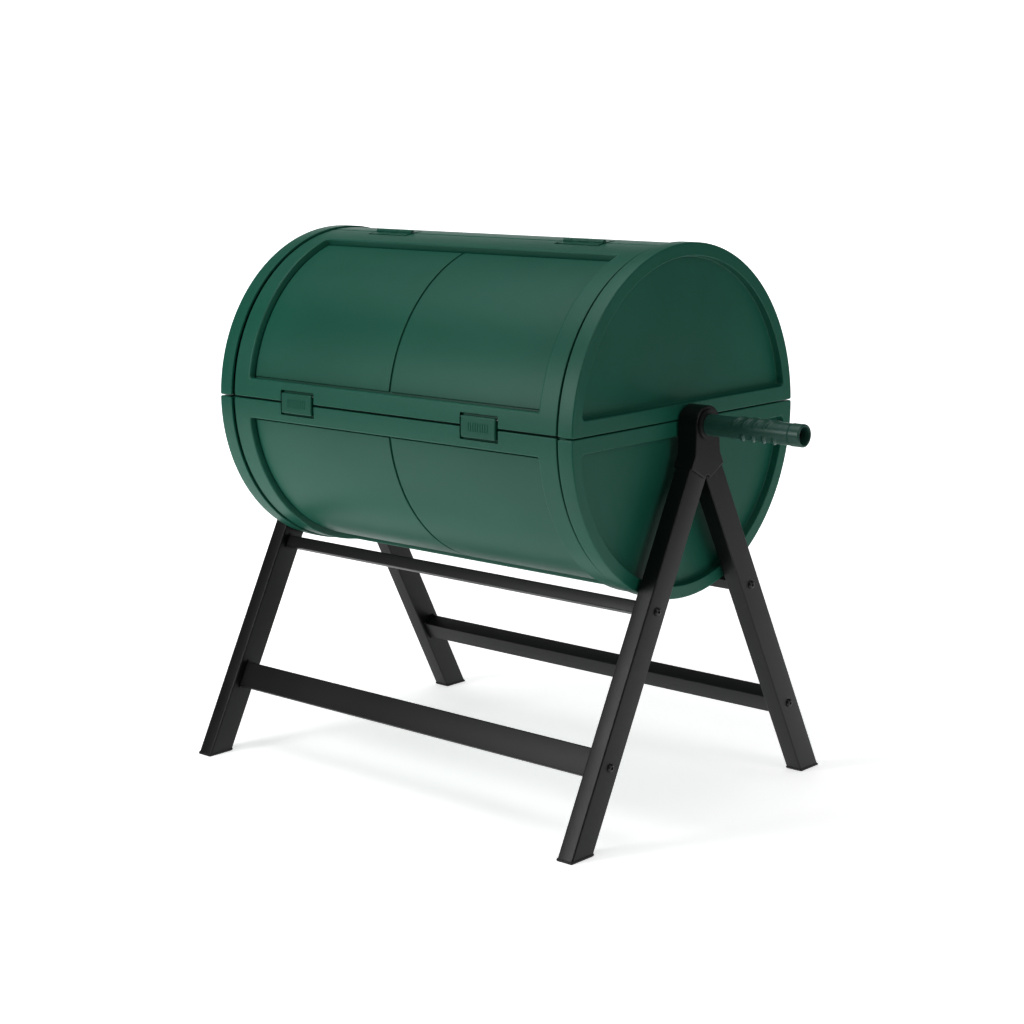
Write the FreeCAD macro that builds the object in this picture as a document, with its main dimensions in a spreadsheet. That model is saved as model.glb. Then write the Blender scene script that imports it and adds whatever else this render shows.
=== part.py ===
"""A compost tumbler: a drum on two A-frames, with a hinged lid, a centre wall and a turning grip.

Millimetres.  X runs along the drum's axle, -Y is the front with the lid, Z is up and the floor is Z = 0.
Angles about the axle are measured from +Y (back) towards +Z (up).
"""

import FreeCAD, Part
import os
import Sketcher

V = FreeCAD.Vector
doc = FreeCAD.newDocument("compost_tumbler")

# ---------------------------------------- driving sizes

SIZES = {
    "axle_height": 630.0,       # axle centre above the floor
    "axle_radius": 14.0,
    "axle_wall": 2.5,
    "running_gap": 0.05,        # radial clearance of a shaft in its bush or knuckle
    "part_gap": 0.4,            # clearance between pieces that don't touch
    "drum_half_length": 395.5,  # centre to an end face
    "body_radius": 278.0,       # outer radius of the shells between the rims
    "rim_rise": 2.5,            # the end caps' rims stand this far proud of the shells
    "rim_width": 28.5,
    "skin": 4.0,                # wall of every moulded drum piece
    "recess_depth": 10.0,       # windows lie this far under the shell's surface
    "panel_wall": 3.0,
    "panel_lap": 6.0,           # a panel reaches this far under its frame
    "end_border": 42.0,         # frame width beside the rims
    "seam_border": 34.0,        # frame width beside the level split
    "hinge_border": 56.0,       # frame width beside the hinged seam
    "split_rise": 6.0,          # the level split lies this far above the axle
    "hinge_angle": 97.0,        # seam between the lid and the upper back shell
    "bottom_angle": 270.0,      # seam between the two lower shells
    "seam_gap": 1.0,            # half of the gap left between fixed shells
    "lid_gap": 2.0,             # half of the gap round the lid
    "end_gap": 4.5,             # groove between a rim and the shells
    "cap_recess": 13.0,
    "cap_ring": 21.0,           # flat ring round the end cap's recess
    "cap_band": 25.0,           # raised band beside the split across an end cap
    "edge_chamfer": 2.0,
    "jamb_drop": 12.0,          # the jamb's outer face lies this far under the shells
    "seal_width": 5.0,
    "divider_wall": 4.0,
    "hub_sleeve": 10.0,         # wall of the hub's sleeve round the axle
    "hub_flange": 22.0,         # its flange reaches this far past the sleeve
    "hub_wall": 6.0,
    "hub_length": 24.0,
    "mixing_radius": 9.0,
    "mixing_clear": 68.0,       # gap between a mixing bar and the jamb's inner face
    "mixing_angle": 32.0,
    "latch_place": 205.0,       # latch centre from the middle of the drum
    "latch_width": 72.0,
    "latch_pocket": 6.0,        # depth of the latch and hinge pockets
    "pocket_wall": 3.0,
    "latch_margin": 4.0,        # free gap round a latch
    "latch_drop": 17.0,         # a latch reaches this far below the split
    "latch_rise": 17.0,         # and this far above it
    "latch_proud": 2.5,         # its face stands this far out of the shell
    "latch_clear": 1.2,         # its back clears the pocket's floor by this
    "latch_pin_radius": 1.2,
    "latch_pin_inset": 2.3,     # pin centre from the latch's upper end
    "latch_pin_depth": 2.4,     # pin centre under the shell's surface
    "strike_wall": 0.8,
    "hinge_place": 212.0,       # hinge centre from the middle of the drum
    "hinge_width": 84.0,
    "hinge_leaf": 18.0,         # each leaf's reach from the pin
    "hinge_rise": 1.5,          # pin centre above the shell's surface
    "knuckle_radius": 3.5,
    "knuckle_count": 5.0,
    "knuckle_gap": 0.4,
    "leaf_start": 4.2,          # the leaves stay this far from the pin
    "leaf_proud": 0.5,
    "pin_radius": 1.8,
    "leg_width": 45.0,
    "leg_depth": 30.0,
    "leg_wall": 2.0,
    "leg_clearance": 6.0,       # end face to the legs' inner faces
    "leg_angle": 26.9,          # legs' lean from upright
    "head_wall": 3.0,
    "boss_wall": 12.0,          # wall of the head's boss round the bush
    "head_merge": 45.0,         # the head narrows to its boss from here up
    "head_reach": 85.0,         # the legs' crotch, and the sleeve's, below the axle
    "head_screw_drop": 56.0,
    "bush_wall": 4.0,
    "bush_flange": 3.0,
    "bush_flange_rise": 6.0,    # its flange reaches this far past the sleeve
    "foot_height": 4.0,
    "foot_plug": 18.0,
    "foot_proud": 1.0,
    "bar_clearance": 20.0,      # from the drum's rims to the upper bars, along the legs' lean
    "lower_bar_height": 130.0,
    "upper_bar_along": 20.0,    # bar section along the leg
    "upper_bar_across": 20.0,   # bar section across the leg
    "front_bar_along": 45.0,    # the lower front bar
    "front_bar_across": 20.0,
    "back_bar_along": 33.0,     # the lower back bar
    "back_bar_across": 29.0,
    "bar_wall": 1.6,
    "plate_wall": 3.0,
    "plate_proud": 3.0,
    "bolt_radius": 4.0,
    "bolt_head_radius": 7.0,
    "bolt_head": 4.0,
    "grip_wall": 3.0,
    "grip_rib": 1.6,
    "grip_rib_width": 9.0,
    "grip_rib_pitch": 19.5,
    "grip_rib_start": 59.0,
    "grip_rib_count": 4.0,
    "grip_collar": 22.0,
    "grip_length": 177.0,
    "axle_setback": 16.0,       # the grip reaches this far past the axle's end
    "axle_cap_length": 18.0,
    "screw_radius": 2.0,
    "screw_head_radius": 4.0,
    "screw_head": 2.4,
}

sheet = doc.addObject("Spreadsheet::Sheet", "Size")
for row, (alias, number) in enumerate(SIZES.items(), start=1):
    sheet.set(f"A{row}", alias)
    sheet.set(f"B{row}", str(number))
    sheet.setAlias(f"B{row}", alias)
doc.recompute()


def value(expression):
    """The number that an expression on the sheet gives."""
    result = sheet.evalExpression(expression)
    return float(getattr(result, "Value", result))


# ---------------------------------------- places that several pieces share

RIM_EDGE = "(Size.drum_half_length-Size.rim_width)"
RIM_RADIUS = "(Size.body_radius+Size.rim_rise)"
SHELL_END = f"({RIM_EDGE}-Size.end_gap)"
LID_END = f"({RIM_EDGE}-Size.end_gap-Size.lid_gap)"
CAP_INSIDE = "(Size.drum_half_length-Size.cap_recess-Size.skin)"
SKIN_INSIDE = "(Size.body_radius-Size.skin)"
PANEL_OUTSIDE = "(Size.body_radius-Size.recess_depth)"
PANEL_INSIDE = f"({PANEL_OUTSIDE}-Size.panel_wall)"
JAMB_OUTSIDE = "(Size.body_radius-Size.jamb_drop)"
JAMB_INSIDE = f"({JAMB_OUTSIDE}-Size.skin)"
POCKET_FLOOR = "(Size.body_radius-Size.latch_pocket)"
WINDOW_END = f"({RIM_EDGE}-Size.end_border)"
DEGREES = "*180/pi/Size.body_radius"
SPLIT_ANGLE = f"(Size.split_rise{DEGREES})"
FRONT_SPLIT = f"(180-{SPLIT_ANGLE})"
BACK_SPLIT = f"(360+{SPLIT_ANGLE})"
LEG_INSIDE = "(Size.drum_half_length+Size.leg_clearance)"
LEG_OUTSIDE = f"({LEG_INSIDE}+Size.leg_depth)"
HEAD_OUTSIDE = f"({LEG_OUTSIDE}+Size.head_wall)"
GRIP_START = f"({HEAD_OUTSIDE}+Size.bush_flange+Size.part_gap)"
GRIP_END = f"({GRIP_START}+Size.grip_length)"
AXLE_END = f"({GRIP_END}-Size.axle_setback)"
AXLE_START = f"({HEAD_OUTSIDE}+Size.bush_flange+Size.axle_cap_length-Size.skin)"
BUSH_RADIUS = "(Size.axle_radius+Size.running_gap+Size.bush_wall)"
BUSH_FLANGE = f"({BUSH_RADIUS}+Size.bush_flange_rise)"
GRIP_RADIUS = "(Size.axle_radius+Size.grip_wall)"

pieces = []


# ---------------------------------------- drawing helpers

def new_body(name):
    body = doc.addObject("PartDesign::Body", name)
    body.Label = name
    body.AllowCompound = True
    pieces.append(body)
    return body


def lift_to_axle(body):
    """Moves a piece that is drawn about the axle up to the axle's height."""
    body.setExpression("Placement.Base.z", "Size.axle_height")


def plane_of(body, role):
    return next(f for f in body.Origin.OriginFeatures if f.Role == role)


def new_sketch(body, role, name, turn=None):
    """A sketch on one of the body's own planes, turned about its own x axis by an angle."""
    sketch = body.newObject("Sketcher::SketchObject", f"{body.Name}_{name}")
    sketch.AttachmentSupport = (plane_of(body, role), "")
    sketch.MapMode = "FlatFace"
    if turn is not None:
        angle = FreeCAD.Rotation(V(1, 0, 0), value(turn))
        sketch.AttachmentOffset = FreeCAD.Placement(V(), angle)
        sketch.setExpression("AttachmentOffset.Rotation.Angle", turn)
    return sketch


def hold(sketch, kind, geometry, end, expression):
    """Holds one coordinate of a point, measured from the sketch's origin."""
    number = value(expression)
    if abs(number) < 1e-9:
        axis = -2 if kind == "DistanceX" else -1
        sketch.addConstraint(Sketcher.Constraint("PointOnObject", geometry, end, axis))
        return
    index = sketch.addConstraint(Sketcher.Constraint(kind, -1, 1, geometry, end, number))
    sketch.setExpression(f"Constraints[{index}]", expression)


def polygon(sketch, points):
    """A closed outline whose corners are pairs of expressions."""
    corners = [V(value(x), value(y), 0) for x, y in points]
    count = len(corners)
    lines = [
        sketch.addGeometry(Part.LineSegment(corners[i], corners[(i + 1) % count]), False)
        for i in range(count)
    ]
    for i in range(count):
        sketch.addConstraint(
            Sketcher.Constraint("Coincident", lines[i], 2, lines[(i + 1) % count], 1)
        )
    for line, (x, y) in zip(lines, points):
        hold(sketch, "DistanceX", line, 1, x)
        hold(sketch, "DistanceY", line, 1, y)


def rectangle(sketch, left, right, low, high):
    polygon(sketch, [(left, low), (right, low), (right, high), (left, high)])


def circle(sketch, x, y, radius):
    shape = Part.Circle(V(value(x), value(y), 0), V(0, 0, 1), value(radius))
    index = sketch.addGeometry(shape, False)
    hold(sketch, "DistanceX", index, 3, x)
    hold(sketch, "DistanceY", index, 3, y)
    size = sketch.addConstraint(Sketcher.Constraint("Radius", index, value(radius)))
    sketch.setExpression(f"Constraints[{size}]", radius)


def revolve(body, sketch, name, angle="360", cut=False):
    kind = "PartDesign::Groove" if cut else "PartDesign::Revolution"
    feature = body.newObject(kind, f"{body.Name}_{name}")
    feature.Profile = sketch
    feature.ReferenceAxis = (sketch, ["H_Axis"])
    feature.Angle = value(angle)
    feature.setExpression("Angle", angle)
    return feature


def turned(body, name, points, cut=False):
    """A piece turned about the axle from an outline of (along the axle, radius) corners."""
    sketch = new_sketch(body, "XY_Plane", name + "_outline")
    polygon(sketch, points)
    return revolve(body, sketch, name, cut=cut)


def sector(body, name, ends, radii, angles, cut=False):
    """A band about the axle between two places, two radii and two angles."""
    sketch = new_sketch(body, "XY_Plane", name + "_outline", turn=angles[0])
    rectangle(sketch, ends[0], ends[1], radii[0], radii[1])
    return revolve(body, sketch, name, f"{angles[1]}-({angles[0]})", cut=cut)


def extrude(body, sketch, name, near, far, cut=False):
    """Pads or pockets a sketch on the YZ plane from one place along X to another."""
    kind = "PartDesign::Pocket" if cut else "PartDesign::Pad"
    middle = f"(({near})+({far}))/2"
    sketch.AttachmentOffset = FreeCAD.Placement(V(0, 0, value(middle)), FreeCAD.Rotation())
    sketch.setExpression("AttachmentOffset.Base.z", middle)
    feature = body.newObject(kind, f"{body.Name}_{name}")
    feature.Profile = sketch
    feature.SideType = "Symmetric"
    length = f"({far})-({near})"
    feature.Length = value(length)
    feature.setExpression("Length", length)
    return feature


def block(body, name, ends, points, cut=False):
    """A prism along X whose section is an outline of (Y, Z) corners."""
    sketch = new_sketch(body, "YZ_Plane", name + "_outline")
    polygon(sketch, points)
    return extrude(body, sketch, name, ends[0], ends[1], cut=cut)


def rod(body, name, ends, y, z, radius, cut=False):
    """A round bar or bore along X."""
    sketch = new_sketch(body, "YZ_Plane", name + "_outline")
    circle(sketch, y, z, radius)
    return extrude(body, sketch, name, ends[0], ends[1], cut=cut)


def both_ways(side, near, far):
    """The two ends of a stretch on the +X side, or of its mirror image on the -X side."""
    return (near, far) if side > 0 else (f"-({far})", f"-({near})")


SIDES = {"right": 1, "left": -1}
WAYS = {"front": -1, "back": 1}


# ---------------------------------------- stand: legs, feet, heads and bushes

LEAN = "tan(Size.leg_angle)"
LEG_ACROSS = "(Size.leg_width/cos(Size.leg_angle))"
LEG_SPREAD = f"((Size.axle_height-Size.head_reach)*{LEAN}+{LEG_ACROSS})"
LEG_TOP = f"(Size.axle_height-{BUSH_RADIUS}-Size.skin)"
HEAD_RADIUS = f"({BUSH_RADIUS}+Size.boss_wall)"
BAR_DROP = f"({RIM_RADIUS}+Size.upper_bar_along/2+Size.bar_clearance)*cos(Size.leg_angle)"
BAR_HEIGHTS = {"upper": f"(Size.axle_height-{BAR_DROP})", "lower": "Size.lower_bar_height"}


def leg_edge(way, inset, height):
    """The Y of a line inside a leg at a height: inset 0 is its outer edge, 1 its inner edge."""
    return f"{way}*({LEG_SPREAD}-({inset})-({height})*{LEAN})"


def head_screw_place(way):
    """Where a screw holds a leg in the head, in Y and Z."""
    height = "(Size.axle_height-Size.head_screw_drop)"
    return leg_edge(way, "0.4*Size.leg_width", height), height


def make_leg(name, way, side):
    """A box tube, cut level at the foot and mitred against its partner in the head."""
    body = new_body(name)
    mitre = f"(({LEG_SPREAD}-{LEG_ACROSS}-Size.part_gap/2)/{LEAN})"
    ends = both_ways(side, LEG_INSIDE, LEG_OUTSIDE)
    block(body, "tube", ends, [
        (leg_edge(way, "0", "Size.foot_height"), "Size.foot_height"),
        (leg_edge(way, LEG_ACROSS, "Size.foot_height"), "Size.foot_height"),
        (f"{way}*Size.part_gap/2", mitre),
        (f"{way}*Size.part_gap/2", LEG_TOP),
        (leg_edge(way, "0", LEG_TOP), LEG_TOP),
    ])
    wall = "(Size.leg_wall/cos(Size.leg_angle))"
    inner = both_ways(side, f"{LEG_INSIDE}+Size.leg_wall", f"{LEG_OUTSIDE}-Size.leg_wall")
    past = f"({LEG_TOP}+Size.leg_width)"
    block(body, "hollow", inner, [
        (leg_edge(way, wall, "0"), "0"),
        (leg_edge(way, f"{LEG_ACROSS}-{wall}", "0"), "0"),
        (leg_edge(way, f"{LEG_ACROSS}-{wall}", past), past),
        (leg_edge(way, wall, past), past),
    ], cut=True)
    for label, height in BAR_HEIGHTS.items():
        rod(body, label + "_hole", ends, leg_edge(way, f"{LEG_ACROSS}/2", height), height,
            "Size.bolt_radius+Size.part_gap", cut=True)
    y, z = head_screw_place(way)
    inner_wall = both_ways(side, LEG_INSIDE, f"{LEG_INSIDE}+Size.leg_wall")
    rod(body, "head_screw_hole", inner_wall, y, z, "Size.screw_radius", cut=True)


def make_foot(name, way, side):
    """A moulded cap: a pad under the tube and a plug inside it."""
    body = new_body(name)
    proud = "Size.foot_proud"
    pad = both_ways(side, f"{LEG_INSIDE}-{proud}", f"{LEG_OUTSIDE}+{proud}")
    outer, inner = f"-{proud}", f"{LEG_ACROSS}+{proud}"
    block(body, "pad", pad, [
        (leg_edge(way, outer, "0"), "0"),
        (leg_edge(way, inner, "0"), "0"),
        (leg_edge(way, inner, "Size.foot_height"), "Size.foot_height"),
        (leg_edge(way, outer, "Size.foot_height"), "Size.foot_height"),
    ])
    wall = "(Size.leg_wall/cos(Size.leg_angle)+Size.part_gap)"
    plug = both_ways(side, f"{LEG_INSIDE}+Size.leg_wall+Size.part_gap",
                     f"{LEG_OUTSIDE}-Size.leg_wall-Size.part_gap")
    top = "(Size.foot_height+Size.foot_plug)"
    block(body, "plug", plug, [
        (leg_edge(way, wall, "Size.foot_height"), "Size.foot_height"),
        (leg_edge(way, f"{LEG_ACROSS}-{wall}", "Size.foot_height"), "Size.foot_height"),
        (leg_edge(way, f"{LEG_ACROSS}-{wall}", top), top),
        (leg_edge(way, wall, top), top),
    ])


def make_head(name, side):
    """A cast head: one hollow sleeve over both legs and a round boss for the bush."""
    body = new_body(name)
    skirt = "(Size.head_wall/cos(Size.leg_angle))"
    low = "(Size.axle_height-Size.head_reach)"
    shoulder = f"({low}+Size.leg_width*sin(Size.leg_angle))"
    merge = "(Size.axle_height-Size.head_merge)"
    ends = both_ways(side, f"{LEG_INSIDE}-Size.head_wall", HEAD_OUTSIDE)
    block(body, "sleeve", ends, [
        ("0", low),
        (leg_edge(1, f"-{skirt}", shoulder), shoulder),
        (leg_edge(1, f"-{skirt}", merge), merge),
        (HEAD_RADIUS, "Size.axle_height"),
        (f"-{HEAD_RADIUS}", "Size.axle_height"),
        (leg_edge(-1, f"-{skirt}", merge), merge),
        (leg_edge(-1, f"-{skirt}", shoulder), shoulder),
    ])
    rod(body, "boss", ends, "0", "Size.axle_height", HEAD_RADIUS)
    fit = "Size.part_gap/4"
    socket = both_ways(side, f"{LEG_INSIDE}-{fit}", f"{LEG_OUTSIDE}+{fit}")
    top = f"({LEG_TOP}+{fit})"
    block(body, "socket", socket, [
        (leg_edge(-1, f"-{fit}", "0"), "0"),
        (leg_edge(1, f"-{fit}", "0"), "0"),
        (leg_edge(1, f"-{fit}", top), top),
        (leg_edge(-1, f"-{fit}", top), top),
    ], cut=True)
    rod(body, "bore", ends, "0", "Size.axle_height", BUSH_RADIUS, cut=True)
    inner_wall = both_ways(side, f"{LEG_INSIDE}-Size.head_wall", LEG_INSIDE)
    for label, way in WAYS.items():
        y, z = head_screw_place(way)
        rod(body, label + "_screw_hole", inner_wall, y, z, "Size.screw_radius", cut=True)


def make_bush(name, side):
    """A flanged plastic bush, pressed into the head from the drum's side, with a loose washer face."""
    body = new_body(name)
    inside, outside = f"({LEG_INSIDE}-Size.head_wall)", HEAD_OUTSIDE
    bore = "(Size.axle_radius+Size.running_gap)"
    start, end = f"{inside}-Size.bush_flange/2", f"{outside}+Size.bush_flange"
    outline = [
        (start, bore), (end, bore), (end, BUSH_FLANGE),
        (outside, BUSH_FLANGE), (outside, BUSH_RADIUS),
        (start, BUSH_RADIUS),
    ]
    if side < 0:
        outline = [(f"-({x})", r) for x, r in outline]
    turned(body, "bush", outline)
    lift_to_axle(body)


for side_name, side in SIDES.items():
    for way_name, way in WAYS.items():
        make_leg(f"leg_{way_name}_{side_name}", way, side)
        make_foot(f"foot_{way_name}_{side_name}", way, side)
    make_head(f"head_{side_name}", side)
    make_bush(f"bush_{side_name}", side)


# ---------------------------------------- stand: crossbars, end plates and bolts

def bar_corners(way, height, along, across):
    """The four (Y, Z) corners of a section that leans with the legs, centred in the leg."""
    y0 = leg_edge(way, f"{LEG_ACROSS}/2", height)
    corners = []
    for u, w in ((-1, -1), (1, -1), (1, 1), (-1, 1)):
        y = f"{y0}+{way}*({w}*({across})/2*cos(Size.leg_angle)-{u}*({along})/2*sin(Size.leg_angle))"
        z = f"{height}+{u}*({along})/2*cos(Size.leg_angle)+{w}*({across})/2*sin(Size.leg_angle)"
        corners.append((y, z))
    return corners


def bar_section(way_name, level):
    """A bar's size along the leg and across it."""
    kind = "upper" if level == "upper" else way_name
    return f"Size.{kind}_bar_along", f"Size.{kind}_bar_across"


def make_bar(way_name, level):
    """A rectangular tube between the two A-frames, closed by a welded plate at each end."""
    body = new_body(f"crossbar_{way_name}_{level}")
    way, height = WAYS[way_name], BAR_HEIGHTS[level]
    along, across = bar_section(way_name, level)
    end = f"({LEG_INSIDE}-Size.plate_wall)"
    block(body, "tube", (f"-{end}", end), bar_corners(way, height, along, across))
    hollow = bar_corners(way, height, f"{along}-2*Size.bar_wall", f"{across}-2*Size.bar_wall")
    block(body, "hollow", (f"-{end}", end), hollow, cut=True)


def make_plates(name):
    """The threaded plates welded to both ends of every bar."""
    body = new_body(name)
    for side_name, side in SIDES.items():
        ends = both_ways(side, f"{LEG_INSIDE}-Size.plate_wall", LEG_INSIDE)
        for way_name, way in WAYS.items():
            for level, height in BAR_HEIGHTS.items():
                along, across = bar_section(way_name, level)
                label = f"{side_name}_{way_name}_{level}"
                corners = bar_corners(way, height, f"({along}+2*Size.plate_proud)", across)
                block(body, label + "_plate", ends, corners)
                rod(body, label + "_hole", ends, leg_edge(way, f"{LEG_ACROSS}/2", height), height,
                    "Size.bolt_radius", cut=True)


def make_bolts(name):
    """The eight bolts that hold the bars: a shank through the leg and a round head outside it."""
    body = new_body(name)
    for side_name, side in SIDES.items():
        shank = both_ways(side, f"{LEG_INSIDE}-Size.plate_wall", LEG_OUTSIDE)
        head = both_ways(side, LEG_OUTSIDE, f"{LEG_OUTSIDE}+Size.bolt_head")
        for way_name, way in WAYS.items():
            for level, height in BAR_HEIGHTS.items():
                y = leg_edge(way, f"{LEG_ACROSS}/2", height)
                label = f"{side_name}_{way_name}_{level}"
                rod(body, label + "_shank", shank, y, height, "Size.bolt_radius")
                rod(body, label + "_head", head, y, height, "Size.bolt_head_radius")


def make_head_screws(name):
    """Short screws that hold the legs in the heads, flush on the drum's side."""
    body = new_body(name)
    for side_name, side in SIDES.items():
        ends = both_ways(side, f"{LEG_INSIDE}-Size.head_wall", f"{LEG_INSIDE}+Size.leg_wall")
        for way_name, way in WAYS.items():
            y, z = head_screw_place(way)
            rod(body, f"{side_name}_{way_name}", ends, y, z, "Size.screw_radius")


for way_name in WAYS:
    for level in BAR_HEIGHTS:
        make_bar(way_name, level)
make_plates("bar_end_plates")
make_bolts("frame_bolts")
make_head_screws("head_screws")


# ---------------------------------------- drum: shells with their window frames

def shifted(angle, distance):
    """An angle moved along the shell's surface by a distance."""
    return f"({angle}+({distance}){DEGREES})"


def make_frame(body, end, angles, gaps, borders):
    """The skin of one quarter with a sunk window: the skin, the window's wall and the opening."""
    start, stop = shifted(angles[0], gaps[0]), shifted(angles[1], f"-{gaps[1]}")
    opening = (shifted(angles[0], borders[0]), shifted(angles[1], f"-{borders[1]}"))
    inside = f"({SKIN_INSIDE}+Size.skin/2)"
    sector(body, "skin", (f"-{end}", end), (SKIN_INSIDE, "Size.body_radius"), (start, stop))
    around = (shifted(opening[0], "-Size.skin"), shifted(opening[1], "Size.skin"))
    wide = f"({WINDOW_END}+Size.skin)"
    sector(body, "window_wall", (f"-{wide}", wide), (PANEL_OUTSIDE, inside), around)
    return start, stop, opening


def cut_window(body, opening):
    past = "(Size.body_radius+Size.skin)"
    under = f"({PANEL_INSIDE}-Size.skin)"
    sector(body, "window", (f"-{WINDOW_END}", WINDOW_END), (under, past), opening, cut=True)


def add_pans(body, label, place, half_width, angles):
    """The two thickened floors that the latch or hinge pockets are sunk into."""
    inside = f"({SKIN_INSIDE}+Size.skin/2)"
    under = f"({POCKET_FLOOR}-Size.pocket_wall)"
    wall = "Size.pocket_wall"
    for sign, side_name in ((1, "right"), (-1, "left")):
        middle = f"{sign}*({place})"
        ends = (f"{middle}-({half_width}+2*{wall})", f"{middle}+({half_width}+2*{wall})")
        sector(body, f"{label}_pan_{side_name}", ends, (under, inside), angles)


def cut_pocket(body, label, place, half_width, angles):
    past = "(Size.body_radius+Size.skin)"
    for sign, side_name in ((1, "right"), (-1, "left")):
        middle = f"{sign}*({place})"
        ends = (f"{middle}-({half_width})", f"{middle}+({half_width})")
        sector(body, f"{label}_pocket_{side_name}", ends, (POCKET_FLOOR, past), angles, cut=True)


LATCH_POCKET = "(Size.latch_width/2+Size.latch_margin)"
HINGE_POCKET = "(Size.hinge_width/2+Size.latch_margin)"
LIP_START = f"({SHELL_END}-2*Size.skin)"
RIB = "(1.5*Size.skin)"


def make_shell(name, angles, borders, features):
    """One fixed quarter: framed window, lips under the rims and a rib along each seam."""
    body = new_body(name)
    gap = "Size.seam_gap"
    start, stop, opening = make_frame(body, SHELL_END, angles, (gap, gap), borders)
    inside = f"({SKIN_INSIDE}+Size.skin/2)"
    lip_end = "(Size.drum_half_length-Size.skin-Size.part_gap)"
    for side_name, side in SIDES.items():
        lip = both_ways(side, LIP_START, lip_end)
        sector(body, side_name + "_lip", lip, (f"{SKIN_INSIDE}-Size.skin", SKIN_INSIDE), (start, stop))
    long = (f"-{LIP_START}", LIP_START)
    sector(body, "first_rib", long, (JAMB_OUTSIDE, inside), (start, shifted(start, RIB)))
    sector(body, "last_rib", long, (JAMB_OUTSIDE, inside), (shifted(stop, f"-{RIB}"), stop))
    if "latches" in features:
        deep = shifted(start, "Size.latch_drop+Size.latch_margin-Size.seam_gap")
        floor = shifted(deep, "Size.pocket_wall")
        add_pans(body, "latch", "Size.latch_place", LATCH_POCKET, (start, floor))
    if "hinges" in features:
        deep = shifted(stop, "-(Size.hinge_leaf+Size.latch_margin-Size.seam_gap)")
        floor = shifted(deep, "-Size.pocket_wall")
        add_pans(body, "hinge", "Size.hinge_place", HINGE_POCKET, (floor, stop))
    cut_window(body, opening)
    if "latches" in features:
        cut_pocket(body, "latch", "Size.latch_place", LATCH_POCKET, (shifted(start, "-Size.skin"), deep))
    if "hinges" in features:
        cut_pocket(body, "hinge", "Size.hinge_place", HINGE_POCKET, (deep, shifted(stop, "Size.skin")))
    lift_to_axle(body)


def make_panels(name, opening):
    """The two sunk panels of one window, which meet over the middle of the drum."""
    angles = (shifted(opening[0], "-Size.panel_lap"), shifted(opening[1], "Size.panel_lap"))
    for side_name, side in SIDES.items():
        body = new_body(f"{name}_{side_name}")
        ends = both_ways(side, "Size.seam_gap", f"{WINDOW_END}+Size.panel_lap")
        sector(body, "panel", ends, (PANEL_INSIDE, PANEL_OUTSIDE), angles)
        lift_to_axle(body)


QUARTERS = {
    "upper_back": ((BACK_SPLIT + "-360", "Size.hinge_angle"),
                   ("Size.seam_border", "Size.hinge_border"), ("hinges",)),
    "lower_front": ((FRONT_SPLIT, "Size.bottom_angle"),
                    ("Size.seam_border", "Size.seam_border"), ("latches",)),
    "lower_back": (("Size.bottom_angle", BACK_SPLIT),
                   ("Size.seam_border", "Size.seam_border"), ()),
}
for quarter, (angles, borders, features) in QUARTERS.items():
    make_shell(f"shell_{quarter}", angles, borders, features)
    window = (shifted(angles[0], borders[0]), shifted(angles[1], f"-{borders[1]}"))
    make_panels(f"panel_{quarter}", window)


# ---------------------------------------- drum: jamb, seal and seam strips

LID_ANGLES = ("Size.hinge_angle", FRONT_SPLIT)
LID_WINDOW = (shifted(LID_ANGLES[0], "Size.hinge_border"), shifted(LID_ANGLES[1], "-Size.seam_border"))
JAMB_END = f"({CAP_INSIDE}-Size.part_gap)"
PANEL_REACH = "(Size.panel_lap+Size.latch_clear+Size.part_gap)"
SEAL_TOP = f"({POCKET_FLOOR}-Size.pocket_wall-Size.part_gap)"


def make_jamb(name):
    """The frame under the lid's edge: it ties the shells round the doorway and carries the seal."""
    body = new_body(name)
    around = (shifted(LID_ANGLES[0], f"-{RIB}-Size.seam_gap"),
              shifted(LID_ANGLES[1], f"{RIB}+Size.seam_gap"))
    doorway = (shifted(LID_WINDOW[0], f"-{PANEL_REACH}"), shifted(LID_WINDOW[1], PANEL_REACH))
    wide = f"({WINDOW_END}+{PANEL_REACH})"
    sector(body, "frame", (f"-{JAMB_END}", JAMB_END), (JAMB_INSIDE, JAMB_OUTSIDE), around)
    cut = (f"({JAMB_INSIDE}-Size.skin)", f"({JAMB_OUTSIDE}+Size.skin)")
    sector(body, "doorway", (f"-{wide}", wide), cut, doorway, cut=True)
    lift_to_axle(body)


def make_seal(name):
    """A flat rubber gasket all round the doorway."""
    body = new_body(name)
    out = (shifted(LID_ANGLES[0], "2*Size.skin"), shifted(LID_ANGLES[1], "-2*Size.skin"))
    end = f"({LID_END}-Size.skin)"
    width = "Size.seal_width"
    sector(body, "outer", (f"-{end}", end), (JAMB_OUTSIDE, SEAL_TOP), out)
    cut = (f"({JAMB_OUTSIDE}-Size.skin)", f"({SEAL_TOP}+Size.skin)")
    inner = (shifted(out[0], width), shifted(out[1], f"-{width}"))
    sector(body, "inner", (f"-({end}-{width})", f"({end}-{width})"), cut, inner, cut=True)
    lift_to_axle(body)


def make_strip(name, seam):
    """A batten inside a seam between two fixed shells."""
    body = new_body(name)
    angles = (shifted(seam, f"-{RIB}-Size.seam_gap"), shifted(seam, f"{RIB}+Size.seam_gap"))
    sector(body, "strip", (f"-{JAMB_END}", JAMB_END), (JAMB_INSIDE, JAMB_OUTSIDE), angles)
    lift_to_axle(body)


make_jamb("door_jamb")
make_seal("door_seal")
make_strip("seam_strip_bottom", "Size.bottom_angle")
make_strip("seam_strip_back", f"({BACK_SPLIT}-360)")


# ---------------------------------------- drum: end caps, hubs, divider and mixing bars

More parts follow.
